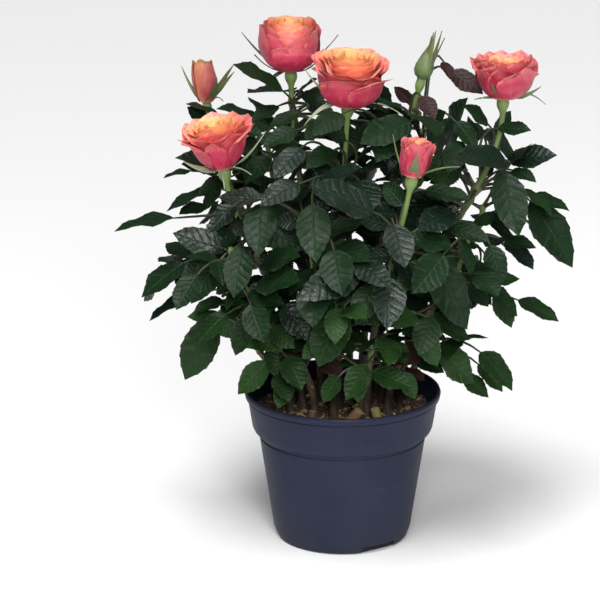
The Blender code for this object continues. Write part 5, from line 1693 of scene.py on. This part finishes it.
# Where the line under the collar starts, deepens and ends, against the body's top; then the step above it
COLLAR_LINE, STEP_LIFT = (-0.0016, -0.0010, 0.0004), 0.0006
LIP_LINE = ((0.0010, 0.0012), 0.0004)  # in and down from the lip's foot, then how far down it ends
BEVEL_ANGLE = 24
NOTCH_SIZE = (0.012, 0.026, 0.0100)
SOIL_RINGS = 15
SOIL_ROUGH = ((0.0013, 75.0), (0.0006, 260.0))  # height and fineness of the lumps
CRUMBS, FIBRES, WHITE_BITS = 1100, 90, 30
TAN_LUCK = 0.25  # how many crumbs are tan
WHITE_SIZES, CRUMB_LEAST, CRUMB_MORE, CRUMB_POWER = (0.0005, 0.0011), 0.0006, 0.0018, 2.5
CRUMB_SEAT, CRUMB_KNOCKS, CRUMB_ROUGH = 0.35, (3, 5, 7), 0.25  # how high it lies, and how it is knocked about
CRUMB_SQUASH, CRUMB_PATTERN = (0.6, 1.3), 0.45  # least and most, and how much of the pattern a crumb shows
CRUMB_REACH, FIBRE_REACH = 0.055, 0.052  # from the pot's axis
FIBRE_LENGTHS, FIBRE_RADII, FIBRE_LIFTS = (0.004, 0.012), (0.0002, 0.0005), (-8, 30)
FIBRE_BEND, FIBRE_SEAT, FIBRE_SIDES, FIBRE_STEPS = 0.3, Vector((0, 0, 0.0006)), 5, 3
LITTER_TONES = {  # finish, its dark and its light
    "dark": ("peat_crumb", (0.022, 0.013, 0.009), (0.120, 0.072, 0.042)),
    "tan": ("bark_crumb", (0.16, 0.095, 0.050), (0.46, 0.33, 0.20)),
    "white": ("grit_white", (0.42, 0.40, 0.36), (0.75, 0.73, 0.68)),
}

# The old stumps' turned shape: share of the height, and width against the radius
STUMP_SHAPE = ((0.0, 1.12), (0.25, 1.05), (0.5, 0.99), (0.75, 1.0), (0.93, 0.98), (1.0, 0.88), (1.0, 0.45))
STUMP_SIDES, STUMP_SEAT = 18, 0.003
STUMP_SPAN, STUMP_STEP = 0.965, 0.004  # so that no two rings of it meet
STUMP_ROUGH, STUMP_GRAIN = 0.06, 700
STUMP_TONES = {
    "stump_woody": (0.30, 0.17, 0.09), "stump_green": (0.36, 0.34, 0.10), "stump_old": (0.15, 0.10, 0.06),
}


def leave_edit():
    """Turns a piece's faces outwards and goes back to object mode."""
    bpy.ops.mesh.select_all(action="SELECT")
    bpy.ops.mesh.normals_make_consistent(inside=False)
    bpy.ops.object.mode_set(mode="OBJECT")


def turned_body(name, profile, sides, finish):
    """A round body raised ring by ring from a filled circle at its first (radius, height)."""
    bpy.ops.object.select_all(action="DESELECT")
    radius, height = profile[0]
    bpy.ops.mesh.primitive_circle_add(
        vertices=sides, radius=radius, fill_type="NGON", location=(0, 0, height)
    )
    thing = bpy.context.object
    thing.name = thing.data.name = name
    bpy.ops.object.transform_apply(location=True)
    bpy.ops.object.mode_set(mode="EDIT")
    bpy.ops.mesh.select_all(action="SELECT")
    for (near, low), (far, high) in zip(profile, profile[1:]):
        bpy.ops.mesh.extrude_region_move(TRANSFORM_OT_translate={"value": (0, 0, high - low)})
        bpy.ops.transform.resize(value=(far / near, far / near, 1.0), center_override=(0, 0, high))
    leave_edit()
    thing.data.materials.clear()
    thing.data.materials.append(finish)
    return thing


def apply_modifier(thing, kind, **settings):
    """Adds a modifier to a piece and applies it."""
    bpy.ops.object.select_all(action="DESELECT")
    bpy.context.view_layer.objects.active = thing
    thing.select_set(True)
    change = thing.modifiers.new(kind.lower(), kind)
    for setting, value in settings.items():
        setattr(change, setting, value)
    bpy.ops.object.modifier_apply(modifier=change.name)


def make_pot():
    """The nursery pot: rolled lip, collar, tapering body, and notches in the edge of its underside."""
    outside = wall_outside()
    foot, (step_radius, step), collar, lip, mouth = (
        outside[:3], outside[4], outside[5:8], outside[8], outside[9:]
    )
    start, deep, end = (BODY_TOP + rise for rise in COLLAR_LINE)
    under_collar = [
        (BODY_TOP_RADIUS, start), (BODY_TOP_RADIUS - GROOVE, deep), (BODY_TOP_RADIUS - GROOVE, end),
        (step_radius, step + STEP_LIFT),
    ]
    (lip_in, lip_down), lip_end = LIP_LINE
    line_radius = lip[0] - lip_in
    under_lip = [(line_radius, lip[1] - lip_down), (line_radius - GROOVE, lip[1] - lip_end), lip]
    profile = [*foot, *under_collar, *collar, *under_lip, *mouth, *wall_inside()]
    pot = turned_body("nursery_pot", profile, POT_TURN_SIDES, pot_finish())
    for number in range(DRAIN_COUNT):
        azimuth = math.radians(DRAIN_AZIMUTH + 360 / DRAIN_COUNT * number)
        place = (BODY_FOOT_RADIUS * math.cos(azimuth), BODY_FOOT_RADIUS * math.sin(azimuth), 0)
        bpy.ops.object.select_all(action="DESELECT")
        bpy.ops.mesh.primitive_cube_add(size=1, location=place, rotation=(0, 0, azimuth), scale=NOTCH_SIZE)
        cutter = bpy.context.object
        apply_modifier(pot, "BOOLEAN", operation="DIFFERENCE", object=cutter, solver="EXACT")
        bpy.data.objects.remove(cutter)
    apply_modifier(
        pot, "BEVEL", width=POT_EDGE, segments=3, limit_method="ANGLE",
        angle_limit=math.radians(BEVEL_ANGLE), harden_normals=False,
    )
    settle_piece(pot, ["pot"], crease=40)


def pot_finish():
    """Dark slate-blue plastic with a fine grain, rubbed lighter in places and dusted with soil low down."""
    web = Web("pot_plastic", (0.018, 0.023, 0.048), 0.46, Specular_IOR_Level=0.08)
    places = web.object_place()
    height = web.add("SeparateXYZ", {0: places}).outputs[2]
    cloud = web.noise(places, 26.0, 4.0)
    grain = web.noise(places, 1500.0, 2.0)
    rings = web.noise(web.stretched(places, (6.0, 6.0, 900.0)), 1.0, 2.0)
    clouded = web.ramp(cloud, (0.35, 0.0), (0.70, 1.0))
    tone = web.blend(clouded, (0.0185, 0.0225, 0.0440), (0.0245, 0.0295, 0.0550))
    scuffs = web.noise(web.stretched(places, (60.0, 60.0, 240.0)), 1.0, 6.0, 0.7)
    worn = web.blend(web.ramp(scuffs, (0.60, 0.0), (0.78, 0.35)), tone, (0.08, 0.085, 0.12))
    low = web.times(web.ramp(web.times(height, 10.0), (0.0, 0.5), (0.22, 0.0)), cloud)
    web.colour(web.blend(low, worn, (0.050, 0.042, 0.036)))
    web.relief(web.plus(grain, web.times(rings, 0.5)), 0.00012, 0.30)
    web.gloss(web.ramp(web.plus(cloud, web.times(scuffs, 0.4)), (0.5, 0.38), (0.9, 0.54)))
    return web.material


def make_soil():
    """The soil, lumpy on top, a hair's breadth inside the pot."""
    inside = wall_inside()
    (low_radius, low), (high_radius, high) = inside[2], inside[1]
    edge = low_radius + (high_radius - low_radius) * (SOIL_LEVEL - SOIL_RIM_DROP - low) / (high - low) - GAP
    profile = [(radius - GAP, height + GAP) for radius, height in reversed(inside[2:])]
    profile.append((edge, SOIL_LEVEL - SOIL_RIM_DROP))
    for ring in range(1, SOIL_RINGS):
        radius = edge * (1 - ring / SOIL_RINGS)
        drop = SOIL_RIM_DROP * max(0.0, (radius - edge + SOIL_RIM_WIDTH) / SOIL_RIM_WIDTH)
        profile.append((radius, SOIL_LEVEL - drop))
    soil = turned_body("potting_soil", profile, SOIL_TURN_SIDES, soil_finish())
    for vertex in soil.data.vertices:
        place = vertex.co
        if place.z > SOIL_LEVEL - SOIL_RIM_DROP - GAP:
            place.z += soil_lumps(place) - SOIL_ROUGH[0][0]
    apply_modifier(soil, "TRIANGULATE")
    settle_piece(soil, ["soil"], crease=60)


def soil_finish():
    """Dark peat in lumps, with paler fibres."""
    web = Web("soil_peat", (0.035, 0.022, 0.014), 0.92)
    places = web.object_place()
    lumps = web.noise(places, 240.0, 8.0, 0.7)
    fibres = web.noise(web.stretched(places, (900.0, 260.0, 260.0)), 1.0, 3.0)
    tone = web.ramp(
        lumps, (0.30, (0.020, 0.013, 0.009)), (0.50, (0.085, 0.050, 0.030)), (0.70, (0.230, 0.150, 0.085))
    )
    web.colour(web.blend(web.ramp(fibres, (0.58, 0.0), (0.66, 0.8)), tone, (0.42, 0.30, 0.18)))
    web.relief(lumps, 0.0012, 1.0)
    return web.material


def soil_lumps(place):
    """How far the soil's lumps rise or fall at a place."""
    return sum(high * noise.noise(place * fine) for high, fine in SOIL_ROUGH)


def ball_shape():
    """The twenty-faced ball that each crumb is knocked out of."""
    lump = bmesh.new()
    bmesh.ops.create_icosphere(lump, subdivisions=1, radius=1.0)
    points = np.array([vertex.co for vertex in lump.verts])
    faces = [tuple(vertex.index for vertex in face.verts) for face in lump.faces]
    lump.free()
    return points, faces


def spot_on_soil(chance, reach):
    """A random place on the soil, within a reach of the pot's axis."""
    turn, out = chance.uniform(0, 2 * math.pi), reach * math.sqrt(chance.random())
    place = Vector((out * math.cos(turn), out * math.sin(turn), SOIL_LEVEL))
    place.z = SOIL_LEVEL - SOIL_ROUGH[0][0] + soil_lumps(place)
    return place


def scatter_litter(chance):
    """Crumbs of peat and bark, root fibres and white grit on the soil."""
    points, faces = ball_shape()
    corners = np.array([0.5 + CRUMB_PATTERN * points[i, ::2] for face in faces for i in face])
    heaps = {kind: Patch() for kind in LITTER_TONES}
    for number in range(CRUMBS + WHITE_BITS):
        kind = "white" if number >= CRUMBS else "tan" if chance.random() < TAN_LUCK else "dark"
        if kind == "white":
            size = chance.uniform(*WHITE_SIZES)
        else:
            size = CRUMB_LEAST + CRUMB_MORE * chance.random() ** CRUMB_POWER
        place = spot_on_soil(chance, CRUMB_REACH)
        squash = np.array([chance.uniform(*CRUMB_SQUASH) for _ in range(3)])
        knocks = 1 + CRUMB_ROUGH * np.sin(points @ CRUMB_KNOCKS + number)
        lump = points * squash * size * knocks[:, None]
        heaps[kind].add(lump + np.array(place) + (0, 0, size * CRUMB_SEAT), faces, corners)
    for _ in range(FIBRES):
        place = spot_on_soil(chance, FIBRE_REACH)
        way = heading(chance.uniform(0, 360), chance.uniform(*FIBRE_LIFTS))
        length = chance.uniform(*FIBRE_LENGTHS)
        bend = heading(chance.uniform(0, 360), 0) * length * FIBRE_BEND
        line = [place, place + way * length * 0.5 + bend, place + way * length]
        line = curve_through([spot + FIBRE_SEAT for spot in line], FIBRE_STEPS)
        shape, skin = tube(line, [chance.uniform(*FIBRE_RADII)] * len(line), FIBRE_SIDES)
        heaps["tan"].add(shape, skin, tube_places(len(line), FIBRE_SIDES))
    for kind, heap in heaps.items():
        heap.piece("soil_crumbs_" + kind, litter_finish(*LITTER_TONES[kind]), "soil_peat", [], crease=35)


def litter_finish(name, dark, light):
    """The grain of crumbs and grit, from dark to light."""
    web = Web(name, light, 0.88)
    places, _, _ = web.pattern()
    grain = web.noise(places, 7.0, 5.0)
    web.colour(web.ramp(grain, (0.32, dark), (0.66, light)))
    web.relief(grain, 0.0004, 0.9)
    return web.material


def make_stumps():
    """Old cut stems, each with bark round its side and a paler cut on top."""
    for name, place, radius, height, lean in STUMPS:
        axis = Vector((lean[0], lean[1], 1.0)).normalized()
        foot = Vector((*place, SOIL_LEVEL - STUMP_SEAT))
        length = (height + STUMP_SEAT) / axis.z
        line = [
            foot + axis * length * (STUMP_SPAN * share + STUMP_STEP * i)
            for i, (share, _) in enumerate(STUMP_SHAPE)
        ]
        points, faces = tube(line, [radius * width for _, width in STUMP_SHAPE], STUMP_SIDES)
        for i, point in enumerate(points):
            centre = line[i // STUMP_SIDES]
            points[i] = centre + (point - centre) * (1 + STUMP_ROUGH * noise.noise(point * STUMP_GRAIN))
        cut = Patch()
        cut.add(points, faces, tube_places(len(line), STUMP_SIDES))
        cut.piece(name + "_cut", stump_finish(name), "stump_wood", [name], crease=40)


def stump_finish(name):
    """Streaked bark, darker than the pale wood of the cut."""
    tone = STUMP_TONES[name]
    web = Web(name + "_wood", tone, 0.7)
    places, _, v = web.pattern()
    grain = web.noise(web.stretched(places, (22.0, 2.0, 1.0)), 1.0, 5.0)
    side = web.blend(web.ramp(grain, (0.35, 0.0), (0.7, 1.0)), tuple(0.45 * part for part in tone), tone)
    web.colour(web.blend(web.ramp(v, (0.78, 0.0), (0.84, 0.6)), side, (0.46, 0.34, 0.20)))
    web.relief(grain, 0.0005, 0.8)
    return web.material


# Setting: floor, lights and camera


FLOOR_SIZE = 14.0
FLOOR_TONE, FLOOR_CLOUD, FLOOR_ROUGHNESS = (0.92, 0.92, 0.92), 0.985, 0.9
SUNS = {"key": ((-0.25, -0.6, 1.35), 2.5, 30), "fill": ((0.8, -0.5, 1.0), 0.4, 60)}  # place, power, spread
BOXES = {"front": ((0.12, -1.4, 0.85), 0.5, 15.5), "top": ((0.0, 0.1, 1.3), 0.7, 3.0)}  # place, size, power
BOX_TARGET = (0.0, 0.0, 0.18)
SKY_POWER = 0.095
SIGHT_END = 50.0  # how far the camera sees


def floor_finish():
    """A matt white, very faintly clouded."""
    web = Web("floor_white", FLOOR_TONE, FLOOR_ROUGHNESS)
    shade = tuple(part * FLOOR_CLOUD for part in FLOOR_TONE)
    web.colour(web.blend(web.noise(web.object_place(), 3.0), FLOOR_TONE, shade))
    return web.material


def aim(thing, place, target):
    """Puts a light in its place and turns it to its target."""
    thing.location = place
    thing.rotation_euler = (Vector(target) - Vector(place)).to_track_quat("-Z", "Y").to_euler()
    bpy.context.scene.collection.objects.link(thing)


def soft_sun(name, place, strength, angle):
    """A very broad sun, which lights floor and plant evenly with soft shadows."""
    lamp = bpy.data.lights.new(name, "SUN")
    lamp.energy, lamp.angle = strength, math.radians(angle)
    aim(bpy.data.objects.new(name, lamp), place, (0.0, 0.0, 0.0))


def soft_box(name, place, size, power):
    lamp = bpy.data.lights.new(name, "AREA")
    lamp.size, lamp.energy = size, power
    aim(bpy.data.objects.new(name, lamp), place, BOX_TARGET)


def make_setting():
    """A pale floor that runs out of sight, soft lights round the plant, and the camera."""
    bpy.ops.object.select_all(action="DESELECT")
    bpy.ops.mesh.primitive_plane_add(size=FLOOR_SIZE, location=(0, 0, 0))
    floor = bpy.context.object
    floor.name = "floor"
    floor.data.materials.append(floor_finish())
    for name, (place, power, spread) in SUNS.items():
        soft_sun(name, place, power, spread)
    for name, (place, size, power) in BOXES.items():
        soft_box(name, place, size, power)
    world = bpy.data.worlds.new("studio")
    world.use_nodes = True
    sky = world.node_tree.nodes["Background"]
    sky.inputs["Color"].default_value = (1.0, 1.0, 1.0, 1.0)
    sky.inputs["Strength"].default_value = SKY_POWER
    scene = bpy.context.scene
    scene.world = world
    scene.view_settings.view_transform = "Standard"
    camera = bpy.data.cameras.new("camera")
    camera.lens, camera.sensor_width = CAMERA_LENS, SENSOR
    camera.clip_end = SIGHT_END
    viewer = bpy.data.objects.new("camera", camera)
    viewer.location = CAMERA_PLACE
    viewer.rotation_euler = (math.radians(90 - CAMERA_PITCH), 0.0, 0.0)
    scene.collection.objects.link(viewer)
    scene.camera = viewer


# The whole plant


def nodes_named(frame, start):
    return [name for name in frame["nodes"] if name.startswith(start)]


def dress_leaves(frame, leaves):
    chance = random.Random(BLADE_SEED)
    blades = {tone: Patch() for tone in SET_LEAVES}
    stalks = Patch()
    for _, leaf, tone in leaves:
        draw_leaf_stalk(stalks, leaf)
        for leaflet in leaf.leaflets:
            draw_blade(blades[tone], leaflet, chance)
    nodes = nodes_named(frame, "leaves_")
    for tone, patch in blades.items():
        finish = leaf_finish("leaf_" + tone, *LEAF_TONES[tone])
        patch.piece("leaves_" + tone + "_green", finish, "leaf_green", nodes, crease=55)
    stalks.piece("leaf_stalks", stalk_finish(), "leaf_green", nodes, crease=60)


NEAR_STEPS = 80


def share_near(shoot, place):
    """How far along a cane its nearest point to a place is."""
    shares = (i / NEAR_STEPS for i in range(NEAR_STEPS + 1))
    return min(shares, key=lambda share: (cane_point(shoot, share) - place).length)


def dress_canes(frame, leaves):
    chance = random.Random(PRICKLE_SEED)
    canes, prickles = Patch(), Patch()
    for shoot in SHOOTS:
        roots = [share_near(shoot, leaf.stalk[0]) for owner, leaf, _ in leaves if owner is shoot]
        draw_cane(canes, shoot, roots)
        draw_prickles(prickles, shoot, chance)
    nodes = nodes_named(frame, "cane_")
    canes.piece("rose_canes", bark_finish(), "cane_bark", nodes, crease=60)
    prickles.piece("prickles", prickle_finish(), "cane_bark", [], crease=60)


DUSKY_BUD, DUSK = "upper_left", 0.60  # the bud whose petals are duller, and by how much
CALYX_OF = {
    "top": "dark", "centre": "pale", "left": "pale", "right": "light", "upper_left": "light",
    "front": "light", "upper_right": "light",
}


def dress_flowers(frame):
    chance = random.Random(BLOOM_SEED)
    petals, bud_petals, hips = Patch(), Patch(), Patch()
    calyxes = {"dark": Patch(), "pale": Patch(), "light": Patch()}
    for shoot in SHOOTS:
        if not shoot.flower:
            continue
        if shoot.name in BLOOMS:
            draw_bloom(bud_petals if shoot.name == DUSKY_BUD else petals, shoot, BLOOMS[shoot.name], chance)
        else:
            draw_green_bud(calyxes["light"], shoot)
        draw_hip(hips, shoot)
        for tip, width, lift in SEPALS[shoot.name]:
            draw_sepal(calyxes[CALYX_OF[shoot.name]], shoot, tip, width, lift)
    nodes = nodes_named(frame, "flower_")
    petals.piece("rose_petals", petal_finish("petal_coral", 0.0), "petal_coral", nodes, crease=70)
    bud_petals.piece("bud_petals", petal_finish("bud_coral", DUSK), "petal_coral", [], crease=70)
    for tone, patch in calyxes.items():
        patch.piece("sepals_" + tone, calyx_finish("sepal_" + tone), "leaf_green", nodes, crease=50)
    hips.piece("rose_hips", calyx_finish("hip_green"), "leaf_green", nodes, crease=60)


def main():
    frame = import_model()
    cad_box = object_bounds()
    leaves = grow_crown(cad_box)
    dress_leaves(frame, leaves)
    dress_canes(frame, leaves)
    dress_flowers(frame)
    make_pot()
    make_soil()
    make_stumps()
    scatter_litter(random.Random(LITTER_SEED))
    make_setting()


main()
